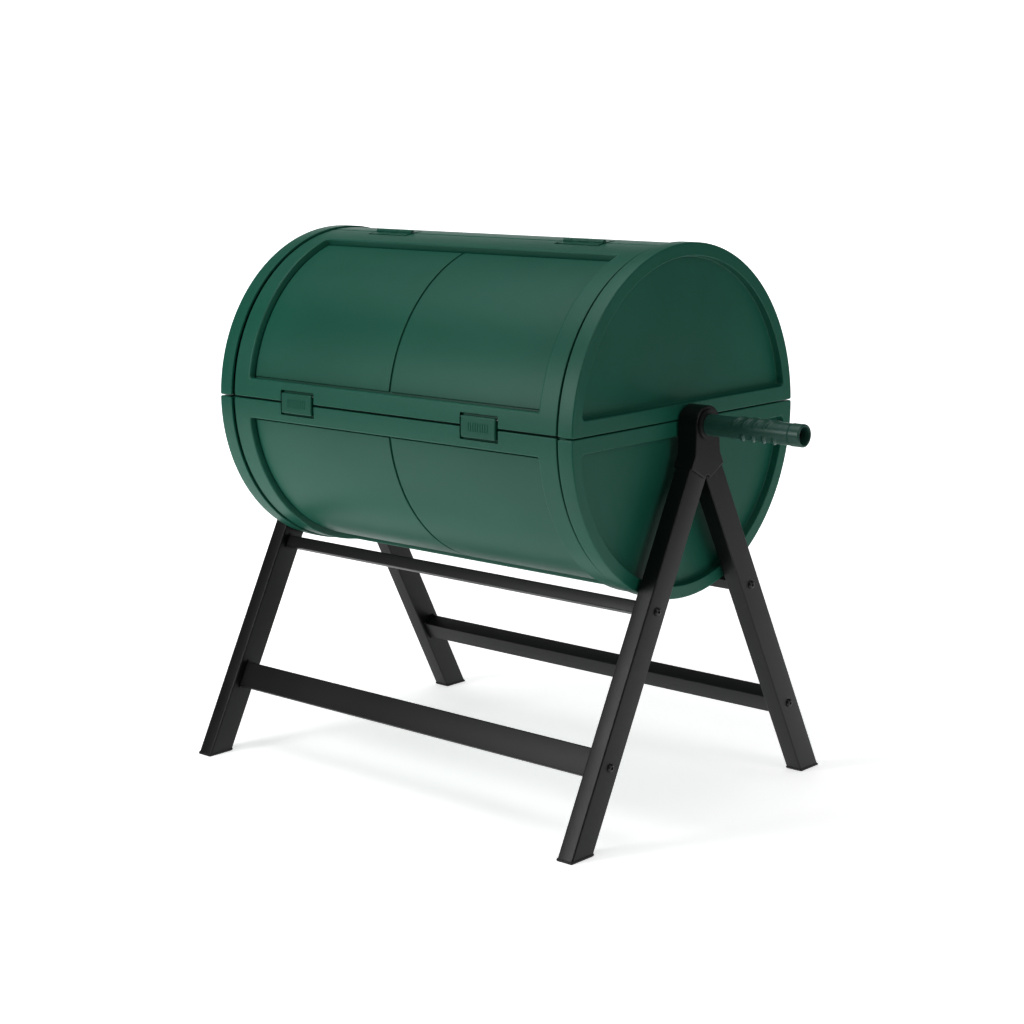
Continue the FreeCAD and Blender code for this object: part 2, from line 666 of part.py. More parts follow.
HUB_RADIUS = "(Size.axle_radius+Size.hub_sleeve)"
HUB_FLANGE = f"({HUB_RADIUS}+Size.hub_flange)"
HUB_SCREW_REACH = f"(({HUB_RADIUS}+{HUB_FLANGE})/2*sqrt(0.5))"
HUB_SCREW_END = f"({CAP_INSIDE}+0.75*Size.skin)"
MIXING_REACH = f"({JAMB_INSIDE}-Size.mixing_clear-Size.mixing_radius)"


def make_cap(name, side, way):
    """Half of an end cap: rim, flat ring, sunk plate and the raised band beside the split."""
    body = new_body(name)
    plate = f"({CAP_INSIDE}+Size.skin)"
    ring = f"({RIM_RADIUS}-Size.cap_ring)"
    wall = f"({ring}+Size.skin)"
    under = "(Size.drum_half_length-Size.skin)"
    rim_inside = f"({RIM_RADIUS}-Size.skin)"
    face, chamfer = "Size.drum_half_length", "Size.edge_chamfer"
    outline = [
        (CAP_INSIDE, "0"), (CAP_INSIDE, wall), (under, wall), (under, rim_inside),
        (RIM_EDGE, rim_inside), (RIM_EDGE, RIM_RADIUS),
        (f"{face}-{chamfer}", RIM_RADIUS), (face, f"{RIM_RADIUS}-{chamfer}"),
        (face, ring), (plate, ring), (plate, "0"),
    ]
    if side < 0:
        outline = [(f"-({x})", r) for x, r in outline]
    turned(body, "dish", outline)
    split, gap = "Size.split_rise", "Size.seam_gap"
    band = both_ways(side, f"({plate}-Size.skin/2)", face)
    low, high = f"{split}+{way}*{gap}", f"{split}+{way}*Size.cap_band"
    half = f"({ring}+Size.skin/2)"
    block(body, "band", band, [(f"-{half}", low), (half, low), (half, high), (f"-{half}", high)])
    whole = both_ways(side, f"{RIM_EDGE}-Size.skin", f"{face}+Size.skin")
    edge = f"({split}+{way}*{gap})"
    past, wide = f"-{way}*({RIM_RADIUS}+Size.skin)", f"({RIM_RADIUS}+Size.skin)"
    block(body, "split", whole, [(f"-{wide}", edge), (wide, edge), (wide, past), (f"-{wide}", past)],
          cut=True)
    rod(body, "bore", whole, "0", "0", "Size.axle_radius+Size.part_gap", cut=True)
    blind = both_ways(side, CAP_INSIDE, HUB_SCREW_END)
    for hand_name, hand in WAYS.items():
        rod(body, f"screw_hole_{hand_name}", blind, f"{hand}*{HUB_SCREW_REACH}",
            f"{way}*{HUB_SCREW_REACH}", "Size.screw_radius", cut=True)
    lift_to_axle(body)


def make_hub(name, side):
    """The flanged hub that joins both halves of an end cap to the axle."""
    body = new_body(name)
    flange = f"({CAP_INSIDE}-Size.hub_wall)"
    end = f"({CAP_INSIDE}-Size.hub_length)"
    outline = [
        (end, "Size.axle_radius"), (end, HUB_RADIUS), (flange, HUB_RADIUS),
        (flange, HUB_FLANGE), (CAP_INSIDE, HUB_FLANGE), (CAP_INSIDE, "Size.axle_radius"),
    ]
    if side < 0:
        outline = [(f"-({x})", r) for x, r in outline]
    turned(body, "hub", outline)
    ends = both_ways(side, flange, CAP_INSIDE)
    for a in (-1, 1):
        for b in (-1, 1):
            rod(body, f"hole_{a + 2}{b + 2}", ends, f"{a}*{HUB_SCREW_REACH}", f"{b}*{HUB_SCREW_REACH}",
                "Size.screw_radius", cut=True)
    lift_to_axle(body)


def make_hub_screws(name):
    """Pan-head screws through the hub flanges into the end caps."""
    body = new_body(name)
    for side_name, side in SIDES.items():
        shank = both_ways(side, f"({CAP_INSIDE}-Size.hub_wall)", HUB_SCREW_END)
        head = both_ways(side, f"({CAP_INSIDE}-Size.hub_wall-Size.screw_head)",
                         f"({CAP_INSIDE}-Size.hub_wall)")
        for a in (-1, 1):
            for b in (-1, 1):
                label = f"{side_name}_{a + 2}{b + 2}"
                y, z = f"{a}*{HUB_SCREW_REACH}", f"{b}*{HUB_SCREW_REACH}"
                rod(body, label + "_shank", shank, y, z, "Size.screw_radius")
                rod(body, label + "_head", head, y, z, "Size.screw_head_radius")
    lift_to_axle(body)


def mixing_place(way):
    angle = f"({way}*Size.mixing_angle)"
    return f"{MIXING_REACH}*cos({angle})", f"{MIXING_REACH}*sin({angle})"


def make_mixing_bar(name, way):
    """A bar from end cap to end cap that breaks up the load as the drum turns."""
    body = new_body(name)
    y, z = mixing_place(way)
    rod(body, "bar", (f"-{CAP_INSIDE}", CAP_INSIDE), y, z, "Size.mixing_radius")
    lift_to_axle(body)


def make_divider(name):
    """The wall between the two chambers."""
    body = new_body(name)
    ends = ("-Size.divider_wall/2", "Size.divider_wall/2")
    rod(body, "wall", ends, "0", "0", f"({JAMB_INSIDE}-Size.part_gap)")
    rod(body, "bore", ends, "0", "0", "Size.axle_radius", cut=True)
    for label, way in (("upper", 1), ("lower", -1)):
        y, z = mixing_place(way)
        rod(body, label + "_hole", ends, y, z, "Size.mixing_radius+Size.part_gap", cut=True)
    lift_to_axle(body)


for side_name, side in SIDES.items():
    make_cap(f"end_cap_{side_name}_upper", side, 1)
    make_cap(f"end_cap_{side_name}_lower", side, -1)
    make_hub(f"hub_{side_name}", side)
make_hub_screws("hub_screws")
make_mixing_bar("mixing_bar_upper", 1)
make_mixing_bar("mixing_bar_lower", -1)
make_divider("divider")


# ---------------------------------------- drum: axle, grip and axle cap

def make_axle(name):
    """A steel tube through the whole drum and both heads."""
    body = new_body(name)
    bore = "(Size.axle_radius-Size.axle_wall)"
    turned(body, "tube", [(f"-{AXLE_START}", bore), (AXLE_END, bore),
                          (AXLE_END, "Size.axle_radius"), (f"-{AXLE_START}", "Size.axle_radius")])
    rod_hole = f"({AXLE_END}-Size.axle_setback)"
    pin_bore(body, "pin_hole", rod_hole, "Size.screw_radius")
    lift_to_axle(body)


def pin_bore(body, name, place, radius):
    """A hole straight down through a piece that is centred on the axle."""
    sketch = new_sketch(body, "XY_Plane", name + "_outline")
    circle(sketch, place, "0", radius)
    feature = body.newObject("PartDesign::Pocket", f"{body.Name}_{name}")
    feature.Profile = sketch
    feature.SideType = "Symmetric"
    feature.setExpression("Length", f"4*{GRIP_RADIUS}")


def make_grip(name):
    """A moulded grip sleeve over the axle's end, with part ribs above and below."""
    body = new_body(name)
    turned(body, "sleeve", [(GRIP_START, "Size.axle_radius"), (GRIP_END, "Size.axle_radius"),
                            (GRIP_END, f"{GRIP_RADIUS}+Size.grip_rib/2"),
                            (f"{GRIP_END}-Size.grip_collar", f"{GRIP_RADIUS}+Size.grip_rib/2"),
                            (f"{GRIP_END}-Size.grip_collar", GRIP_RADIUS),
                            (GRIP_START, GRIP_RADIUS)])
    for index in range(int(value("Size.grip_rib_count"))):
        start = f"({GRIP_START}+Size.grip_rib_start+{index}*Size.grip_rib_pitch)"
        for label, angles in (("top", ("30", "150")), ("bottom", ("210", "330"))):
            sector(body, f"rib_{label}_{index}", (start, f"{start}+Size.grip_rib_width"),
                   (f"{GRIP_RADIUS}-Size.grip_rib", f"{GRIP_RADIUS}+Size.grip_rib"), angles)
    pin_bore(body, "pin_hole", f"({AXLE_END}-Size.axle_setback)", "Size.screw_radius")
    lift_to_axle(body)


def make_grip_pin(name):
    """The cross pin that keys the grip to the axle."""
    body = new_body(name)
    sketch = new_sketch(body, "XY_Plane", "pin_outline")
    circle(sketch, f"({AXLE_END}-Size.axle_setback)", "0", "Size.screw_radius")
    feature = body.newObject("PartDesign::Pad", f"{body.Name}_pin")
    feature.Profile = sketch
    feature.SideType = "Symmetric"
    feature.setExpression("Length", f"2*{GRIP_RADIUS}")
    lift_to_axle(body)


def make_axle_cap(name):
    """A cap over the axle's other end, which keeps the drum between the heads."""
    body = new_body(name)
    start = f"({HEAD_OUTSIDE}+Size.bush_flange+Size.part_gap)"
    end = f"({HEAD_OUTSIDE}+Size.bush_flange+Size.axle_cap_length)"
    outline = [
        (start, "Size.axle_radius"), (start, BUSH_FLANGE),
        (f"{end}-Size.skin", BUSH_FLANGE), (end, f"{BUSH_FLANGE}-Size.skin"),
        (end, "0"), (f"{end}-Size.skin", "0"), (f"{end}-Size.skin", "Size.axle_radius"),
    ]
    turned(body, "cap", [(f"-({x})", r) for x, r in outline])
    lift_to_axle(body)


make_axle("axle")
make_grip("handle_grip")
make_grip_pin("grip_pin")
make_axle_cap("axle_cap")


# ---------------------------------------- lid, hinges and latches

def make_lid(name):
    """The hinged quarter: its skin stops short of the rims, and a rib under it meets the seal."""
    body = new_body(name)
    gap = "Size.lid_gap"
    start, stop, opening = make_frame(body, LID_END, LID_ANGLES, (gap, gap),
                                      ("Size.hinge_border", "Size.seam_border"))
    inside = f"({SKIN_INSIDE}+Size.skin/2)"
    under = f"({POCKET_FLOOR}-Size.pocket_wall)"
    leaf_deep = shifted(LID_ANGLES[0], "Size.hinge_leaf+Size.latch_margin")
    latch_deep = shifted(LID_ANGLES[1], "-(Size.latch_rise+Size.latch_margin)")
    wall = "Size.pocket_wall"
    add_pans(body, "hinge", "Size.hinge_place", HINGE_POCKET, (start, shifted(leaf_deep, wall)))
    add_pans(body, "latch", "Size.latch_place", LATCH_POCKET, (shifted(latch_deep, f"-{wall}"), stop))
    end = f"({LID_END}-Size.skin)"
    width = "Size.seal_width"
    seal = (shifted(LID_ANGLES[0], "2*Size.skin"), shifted(LID_ANGLES[1], "-2*Size.skin"))
    sector(body, "hinge_rib", (f"-{end}", end), (under, inside), (seal[0], shifted(seal[0], width)))
    sector(body, "latch_rib", (f"-{end}", end), (under, inside), (shifted(seal[1], f"-{width}"), seal[1]))
    for side_name, side in SIDES.items():
        ends = both_ways(side, f"({end}-{width})", end)
        sector(body, side_name + "_rib", ends, (under, inside), seal)
    cut_window(body, opening)
    cut_pocket(body, "hinge", "Size.hinge_place", HINGE_POCKET, (shifted(start, "-Size.skin"), leaf_deep))
    cut_pocket(body, "latch", "Size.latch_place", LATCH_POCKET, (latch_deep, shifted(stop, "Size.skin")))
    for side_name, side in SIDES.items():
        y, z = latch_pin_place()
        rod(body, f"latch_pin_hole_{side_name}", latch_pin_ends(side), y, z, "Size.latch_pin_radius",
            cut=True)
    lift_to_axle(body)


def latch_pin_place():
    angle = shifted(LID_ANGLES[1], "-(Size.latch_rise-Size.latch_pin_inset)")
    radius = "(Size.body_radius-Size.latch_pin_depth)"
    return f"{radius}*cos({angle})", f"{radius}*sin({angle})"


def latch_pin_ends(side):
    reach = f"({LATCH_POCKET}+Size.pocket_wall)"
    return both_ways(side, f"(Size.latch_place-{reach})", f"(Size.latch_place+{reach})")


def make_latch(name, side):
    """A snap latch: a ribbed block that swings on a pin in the lid and closes over the split."""
    body = new_body(name)
    half = "Size.latch_width/2"
    ends = both_ways(side, f"(Size.latch_place-{half})", f"(Size.latch_place+{half})")
    radii = (f"({POCKET_FLOOR}+Size.latch_clear)", "(Size.body_radius+Size.latch_proud)")
    angles = (shifted(LID_ANGLES[1], "-Size.latch_rise"), shifted(LID_ANGLES[1], "Size.latch_drop"))
    sector(body, "block", ends, radii, angles)
    y, z = latch_pin_place()
    rod(body, "bore", ends, y, z, "Size.latch_pin_radius+Size.running_gap", cut=True)
    lift_to_axle(body)


def make_latch_pins(name):
    """The steel pins that the latches swing on, held in the lid."""
    body = new_body(name)
    y, z = latch_pin_place()
    for side_name, side in SIDES.items():
        rod(body, side_name + "_pin", latch_pin_ends(side), y, z, "Size.latch_pin_radius")
    lift_to_axle(body)


def make_strikes(name):
    """The steel plates in the lower pockets that the latches close on."""
    body = new_body(name)
    half = "Size.latch_width/3"
    radii = (POCKET_FLOOR, f"({POCKET_FLOOR}+Size.strike_wall)")
    angles = (shifted(LID_ANGLES[1], "Size.latch_drop/3"), shifted(LID_ANGLES[1], "Size.latch_drop"))
    for side_name, side in SIDES.items():
        ends = both_ways(side, f"(Size.latch_place-{half})", f"(Size.latch_place+{half})")
        sector(body, side_name + "_plate", ends, radii, angles)
    lift_to_axle(body)


HINGE_RADIUS = "(Size.body_radius+Size.hinge_rise)"
HINGE_Y = f"{HINGE_RADIUS}*cos(Size.hinge_angle)"
HINGE_Z = f"{HINGE_RADIUS}*sin(Size.hinge_angle)"


def knuckle_ends(side, index):
    width = "(Size.hinge_width/Size.knuckle_count)"
    start = f"(Size.hinge_place-Size.hinge_width/2+{index}*{width}+Size.knuckle_gap/2)"
    return both_ways(side, start, f"({start}+{width}-Size.knuckle_gap)")


def make_leaf(name, side, way, indexes, bore):
    """One hinge leaf: a block screwed in its pocket, straps and the knuckles round the pin."""
    body = new_body(name)
    half = "Size.hinge_width/2"
    ends = both_ways(side, f"(Size.hinge_place-{half})", f"(Size.hinge_place+{half})")
    near, far = f"{way}*Size.leaf_start", f"{way}*Size.hinge_leaf"
    first, last = (near, far) if way > 0 else (far, near)
    seam = "Size.hinge_angle"
    radii = (POCKET_FLOOR, "(Size.body_radius+Size.leaf_proud)")
    sector(body, "leaf", ends, radii, (shifted(seam, first), shifted(seam, last)))
    strap = (f"({HINGE_RADIUS}-Size.knuckle_radius+Size.knuckle_gap)", "(Size.body_radius+Size.leaf_proud)")
    reach = f"{way}*(Size.leaf_start+1)"
    arms = ("0", reach) if way > 0 else (reach, "0")
    for index in indexes:
        place = knuckle_ends(side, index)
        sector(body, f"strap_{index}", place, strap, (shifted(seam, arms[0]), shifted(seam, arms[1])))
        rod(body, f"knuckle_{index}", place, HINGE_Y, HINGE_Z, "Size.knuckle_radius")
    rod(body, "bore", ends, HINGE_Y, HINGE_Z, bore, cut=True)
    lift_to_axle(body)


def make_hinge_pins(name):
    """The steel hinge pins, fast in the drum's leaves."""
    body = new_body(name)
    half = "Size.hinge_width/2"
    for side_name, side in SIDES.items():
        ends = both_ways(side, f"(Size.hinge_place-{half})", f"(Size.hinge_place+{half})")
        rod(body, side_name + "_pin", ends, HINGE_Y, HINGE_Z, "Size.pin_radius")
    lift_to_axle(body)


make_lid("lid_frame")
make_panels("lid_panel", LID_WINDOW)
for side_name, side in SIDES.items():
    make_latch(f"latch_{side_name}", side)
    make_leaf(f"hinge_leaf_drum_{side_name}", side, -1, (0, 2, 4), "Size.pin_radius")
    make_leaf(f"hinge_leaf_lid_{side_name}", side, 1, (1, 3), "Size.pin_radius+Size.running_gap")
make_latch_pins("latch_pins")
make_strikes("latch_strikes")
make_hinge_pins("hinge_pins")


# ---------------------------------------- checks and files

doc.recompute()
faults = [f"{item.Name}: {item.State}" for item in doc.Objects
          if "Invalid" in item.State or "Error" in item.State]
for piece in pieces:
    if piece.Shape.isNull() or not piece.Shape.isValid() or piece.Shape.Volume <= 0:
        faults.append(f"{piece.Label}: bad shape")
if faults:
    raise RuntimeError("; ".join(faults))

os.makedirs("parts", exist_ok=True)
for piece in pieces:
    piece.Shape.exportStep(f"parts/{piece.Label}.step")
    print(piece.Label, len(piece.Shape.Solids), round(piece.Shape.Volume / 1000.0, 1), "cm3")
print(len(pieces), "pieces")
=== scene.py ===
import math

import bmesh
import bpy
import numpy as np
from mathutils import Matrix, Vector


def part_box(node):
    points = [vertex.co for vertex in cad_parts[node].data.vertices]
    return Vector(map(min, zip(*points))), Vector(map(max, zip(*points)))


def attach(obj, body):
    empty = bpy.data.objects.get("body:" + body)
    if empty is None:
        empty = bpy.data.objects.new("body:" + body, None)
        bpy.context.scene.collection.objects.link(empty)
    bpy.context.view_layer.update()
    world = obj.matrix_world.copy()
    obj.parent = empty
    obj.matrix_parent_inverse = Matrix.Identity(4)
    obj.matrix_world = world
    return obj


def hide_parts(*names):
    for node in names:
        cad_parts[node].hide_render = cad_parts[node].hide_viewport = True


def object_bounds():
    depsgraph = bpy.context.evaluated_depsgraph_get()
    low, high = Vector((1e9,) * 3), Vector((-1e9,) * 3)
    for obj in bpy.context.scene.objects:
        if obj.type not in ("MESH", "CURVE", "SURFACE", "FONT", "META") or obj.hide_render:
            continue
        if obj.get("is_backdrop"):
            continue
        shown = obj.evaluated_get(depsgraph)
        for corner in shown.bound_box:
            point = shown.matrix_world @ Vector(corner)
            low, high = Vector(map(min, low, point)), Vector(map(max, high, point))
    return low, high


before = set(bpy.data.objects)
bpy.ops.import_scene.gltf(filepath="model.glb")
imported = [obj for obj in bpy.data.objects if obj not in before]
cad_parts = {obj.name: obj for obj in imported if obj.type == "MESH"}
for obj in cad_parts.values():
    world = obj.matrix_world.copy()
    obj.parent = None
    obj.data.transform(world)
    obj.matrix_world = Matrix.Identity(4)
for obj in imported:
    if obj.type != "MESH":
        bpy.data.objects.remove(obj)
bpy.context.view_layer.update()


# ---------------------------------------- the axle as a measuring line
# The drum, its lid and all their fittings are set out round the axle: a place along it, a radius
# and an angle counted from the back (+Y) upwards.  Each piece takes its own three from the frame.

axle_low, axle_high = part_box("axle")
AXLE_Z = (axle_low.z + axle_high.z) / 2


def around(node):
    """The ends along the axle, the radii and the angles between which a frame node lies."""
    points = np.array([v.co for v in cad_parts[node].data.vertices])
    y, z = points[:, 1], points[:, 2] - AXLE_Z
    middle = math.atan2(z.mean(), y.mean())
    angle = (np.arctan2(z, y) - middle + math.pi) % (2 * math.pi) - math.pi + middle
    radius = np.hypot(y, z)
    return [(float(a.min()), float(a.max())) for a in (points[:, 0], radius, angle)]


# ---------------------------------------- moulded green plastic
# Shells, caps, lid and panels are injection moulded polypropylene in a deep bottle green, with
# faint cloudy flow marks and a fine spark grain that breaks up the shine.

class Level:
    """A node's output that takes part in Python sums; each sum adds a Math node."""

    def __init__(self, finish, socket):
        self.finish, self.socket = finish, socket

    def maths(self, operation, first, second):
        return self.finish.node("ShaderNodeMath", {"operation": operation}, {0: first, 1: second})

    def __add__(self, other):
        return self.maths("ADD", self, other)

    def __radd__(self, other):
        return self.maths("ADD", other, self)

    def __sub__(self, other):
        return self.maths("SUBTRACT", self, other)

    def __rsub__(self, other):
        return self.maths("SUBTRACT", other, self)

    def __mul__(self, other):
        return self.maths("MULTIPLY", self, other)

    def __rmul__(self, other):
        return self.maths("MULTIPLY", other, self)

    def above(self, edge, soft):
        """0 below an edge and 1 above it, with a soft step."""
        ramp = {"interpolation_type": "SMOOTHSTEP"}
        return self.finish.node("ShaderNodeMapRange", ramp, {0: self, 1: edge - soft, 2: edge + soft})


class Finish:
    """A material whose nodes are added one call at a time."""

    def __init__(self, name):
        self.material = bpy.data.materials.new(name)
        self.material.use_nodes = True
        self.nodes = self.material.node_tree.nodes
        self.links = self.material.node_tree.links
        self.shader = next(n for n in self.nodes if n.type == "BSDF_PRINCIPLED")
        self.place = self.node("ShaderNodeTexCoord", output="Object")

    def feed(self, socket, value):
        """Links a socket to another node's output, or sets its value."""
        if isinstance(value, Level):
            self.links.new(value.socket, socket)
        else:
            socket.default_value = value

    def node(self, kind, settings=None, values=None, output=0):
        """Adds a node with its settings and the values or links of its sockets."""
        made = self.nodes.new(kind)
        for name, setting in (settings or {}).items():
            setattr(made, name, setting)
        for key, value in (values or {}).items():
            self.feed(made.inputs[key], value)
        return Level(self, made.outputs[output])

    def noise(self, scale, detail, stretch=(1, 1, 1)):
        """Cloudy values about 0.5, with so many clouds to the metre."""
        place = self.place
        if stretch != (1, 1, 1):
            place = self.node("ShaderNodeMapping", {}, {"Vector": place, "Scale": stretch})
        return self.node("ShaderNodeTexNoise", {}, {"Vector": place, "Scale": scale, "Detail": detail})

    def between(self, share, first, second):
        """A colour mixed from two others."""
        return self.node("ShaderNodeMix", {"data_type": "RGBA"},
                         {0: share, 6: (*first, 1), 7: (*second, 1)}, output=2)

    def set(self, **values):
        """Feeds the shader's sockets, named with low lines for spaces."""
        for name, value in values.items():
            socket = self.shader.inputs[name.replace("_", " ")]
            self.feed(socket, (*value, 1) if isinstance(value, tuple) else value)

    def relief(self, height, depth, strength):
        """Bumps of a real depth in metres."""
        bump = self.node("ShaderNodeBump", {}, {"Height": height, "Distance": depth, "Strength": strength})
        self.feed(self.shader.inputs["Normal"], bump)


CLOUD_SHARE = 0.6
FLOW_GLOSS = 0.12
GRAIN_GLOSS = 0.10


def moulded_plastic(name, dark, light, rough, grain_size=0.0009, grain_depth=0.00007):
    """Two close shades in soft clouds and flow marks, under a fine grain."""
    finish = Finish(name)
    clouds = finish.noise(5.0, 3.0)
    flow = finish.noise(9.0, 2.0, stretch=(0.25, 1, 1))
    grain = finish.noise(1 / grain_size, 2.0)
    share = (clouds * CLOUD_SHARE + flow * (1 - CLOUD_SHARE)).above(0.5, 0.22)
    finish.set(Base_Color=finish.between(share, dark, light))
    finish.set(Roughness=rough + (flow - 0.5) * FLOW_GLOSS + (grain - 0.5) * GRAIN_GLOSS)
    finish.relief(grain, grain_depth, 0.6)
    return finish.material


SHELL_GREEN = moulded_plastic("green_shell", (0.0055, 0.112, 0.072), (0.0075, 0.128, 0.083), 0.45)
PANEL_GREEN = moulded_plastic("green_panel", (0.0054, 0.108, 0.069), (0.0073, 0.124, 0.080), 0.45)


# ---------------------------------------- quarter shells and lid frame
# Each quarter of the drum is one moulding: a round skin with a sunk window, a wall down to the
# panels and a skirt turned in along every edge.  The lid is the same moulding, hung on hinges.

BODY = around("shell_lower_back")[1][1]
RIM_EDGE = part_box("end_cap_right_upper")[0].x
END_GROOVE = 0.0045
LID_GROOVE = 0.0050
WALL = 0.004
SHELL_SKIRT = 0.0115
LID_SKIRT = 0.009
SHELL_CORNER = 0.004
EDGE_ROUND = 0.0016

PANEL_LAP = 0.006
PANEL_IN, PANEL_OUT = around("lid_panel_left")[1]
WINDOW_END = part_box("lid_panel_right")[1].x - PANEL_LAP
WINDOW_CORNER = 0.0035
WINDOW_ROUND = 0.0026
FOOT_DROP = 0.0014
DRAFT = 0.0007

POCKET_FLOOR = 0.006
POCKET_FREE = 0.004
POCKET_WALL = 0.003
POCKET_CORNER = 0.0015
LIP_RADII = (BODY - 0.0112, BODY - 0.0078)
LIP_REACH = 0.027

# How finely the rounds are divided, and the narrow flat that keeps a round's shading to itself.
CORNER_STEPS = 6
QUARTER_ARCS = 44
BAND_STEPS = 5
ROUND_TURNS = [math.radians(a) for a in (0, 22.5, 45, 67.5, 90)]
SUPPORT = 0.0005
SHARP_EDGE = math.radians(35)


def outline(ends, arc, corner, arcs=QUARTER_ARCS):
    """Points round a rectangle with round corners, as (along the axle, along the skin)."""
    right, left = ends[1] - corner, ends[0] + corner
    low, high = arc[0] + corner, arc[1] - corner
    points = []
    for x, s, start in ((right, low, -90), (right, high, 0), (left, high, 90), (left, low, 180)):
        for step in range(CORNER_STEPS + 1):
            turn = math.radians(start + 90 * step / CORNER_STEPS)
            points.append((x + corner * math.cos(turn), s + corner * math.sin(turn)))
        if start in (-90, 90):
            way = 1 if start == -90 else -1
            for step in range(1, arcs):
                share = step / arcs if way > 0 else 1 - step / arcs
                points.append((x + way * corner, low + (high - low) * share))
    return points


def wrap(points, radius):
    """Puts flat points on a cylinder about the axle; lengths along the skin count at its surface."""
    return [(x, radius * math.cos(s / BODY), AXLE_Z + radius * math.sin(s / BODY)) for x, s in points]


def blend_points(first, second, share):
    """Points a share of the way from one outline to another."""
    return [(a[0] + (b[0] - a[0]) * share, a[1] + (b[1] - a[1]) * share)
            for a, b in zip(first, second)]


def add_rings(mesh, rings, ends="strips"):
    """Faces between rings of points; the ends meet, or are closed with strips or one face each."""
    rows = [[mesh.verts.new(p) for p in ring] for ring in rings]
    count = len(rows[0])
    pairs = list(zip(rows, rows[1:]))
    if ends == "meet":
        pairs.append((rows[-1], rows[0]))
    for first, second in pairs:
        for i in range(count):
            j = (i + 1) % count
            mesh.faces.new((first[i], first[j], second[j], second[i]))
    if ends == "strips":
        half = count // 2
        for row in (rows[0], rows[-1]):
            for i in range(half - 1):
                mesh.faces.new((row[i], row[i + 1], row[count - 2 - i], row[count - 1 - i]))
    if ends == "face":
        for row in (rows[0], rows[-1]):
            mesh.faces.new(row)


def finish_mesh(name, mesh, material, sharp=SHARP_EDGE):
    """Merges doubles, points all faces outwards and makes the object."""
    bmesh.ops.remove_doubles(mesh, verts=mesh.verts, dist=1e-6)
    bmesh.ops.dissolve_degenerate(mesh, edges=mesh.edges, dist=1e-7)
    bmesh.ops.recalc_face_normals(mesh, faces=mesh.faces)
    data = bpy.data.meshes.new(name)
    mesh.to_mesh(data)
    mesh.free()
    data.shade_smooth()
    data.set_sharp_from_angle(angle=sharp)
    data.materials.append(material)
    made = bpy.data.objects.new(name, data)
    bpy.context.scene.collection.objects.link(made)
    return made


def frame_rings(end, arc, window, skirt):
    """The rings of a framed shell, once round its section from the skirt's foot."""
    def edge(inset):
        return outline((-end + inset, end - inset), (arc[0] + inset, arc[1] - inset),
                       SHELL_CORNER - inset / 2)

    def opening(outset):
        reach = WINDOW_END + outset
        return outline((-reach, reach), (window[0] - outset, window[1] + outset),
                       WINDOW_CORNER + outset)

    rings = [wrap(edge(0), BODY - skirt)]
    for turn in ROUND_TURNS:
        inset, drop = EDGE_ROUND * (1 - math.cos(turn)), EDGE_ROUND * (1 - math.sin(turn))
        rings.append(wrap(edge(inset), BODY - drop))
    band = edge(EDGE_ROUND + SUPPORT), opening(WINDOW_ROUND + SUPPORT)
    for step in range(BAND_STEPS + 1):
        rings.append(wrap(blend_points(*band, step / BAND_STEPS), BODY))
    for turn in ROUND_TURNS:
        outset = WINDOW_ROUND * (1 - math.sin(turn))
        rings.append(wrap(opening(outset), BODY - WINDOW_ROUND * (1 - math.cos(turn))))
    rings.append(wrap(opening(-DRAFT), PANEL_OUT - FOOT_DROP))
    rings.append(wrap(opening(WALL - DRAFT), PANEL_OUT - FOOT_DROP))
    rings.append(wrap(opening(WALL), BODY - WALL))
    for step in range(1, BAND_STEPS):
        rings.append(wrap(blend_points(opening(WALL), edge(WALL), step / BAND_STEPS), BODY - WALL))
    rings.append(wrap(edge(WALL), BODY - WALL))
    rings.append(wrap(edge(WALL), BODY - skirt))
    return rings


def curved_block(mesh, ends, arc, radii, rounding=0.0008, corner=0.0012, arcs=8):
    """A block that follows the skin, with its outer edges rounded."""
    def ring(inset, radius):
        return wrap(outline((ends[0] + inset, ends[1] - inset), (arc[0] + inset, arc[1] - inset),
                            corner - inset / 2, arcs), radius)

    rings = [ring(0, radii[0])]
    for turn in ROUND_TURNS:
        inset, drop = rounding * (1 - math.cos(turn)), rounding * (1 - math.sin(turn))
        rings.append(ring(inset, radii[1] - drop))
    rings.append(ring(rounding + SUPPORT, radii[1]))
    add_rings(mesh, rings)


def on_skin(angles):
    return angles[0] * BODY, angles[1] * BODY


def cut_out(piece, cutter):
    """Takes the cutter's room out of a piece."""
    step = piece.modifiers.new("cut", "BOOLEAN")
    step.object, step.operation, step.solver = cutter, "DIFFERENCE", "EXACT"
    step.use_self = True
    evaluated = piece.evaluated_get(bpy.context.evaluated_depsgraph_get())
    cut = bpy.data.meshes.new_from_object(evaluated)
    piece.modifiers.remove(step)
    piece.data = cut
    cut.shade_smooth()
    cut.set_sharp_from_angle(angle=SHARP_EDGE)


def absorb(piece, *others):
    """Joins other objects' meshes into a piece."""
    joined = bmesh.new()
    for part in (piece, *others):
        joined.from_mesh(part.data)
    joined.to_mesh(piece.data)
    joined.free()
    for part in others:
        bpy.data.objects.remove(part)
    piece.data.set_sharp_from_angle(angle=SHARP_EDGE)


# Which shell holds which panels, which body it is on, and which fittings' pockets it has.
QUARTERS = {
    "shell_upper_back": ("panel_upper_back", "drum", ["hinge_leaf_drum"]),
    "shell_lower_front": ("panel_lower_front", "drum", ["latch"]),
    "shell_lower_back": ("panel_lower_back", "drum", []),
    "lid_frame": ("lid_panel", "lid", ["latch", "hinge_leaf_lid"]),
}


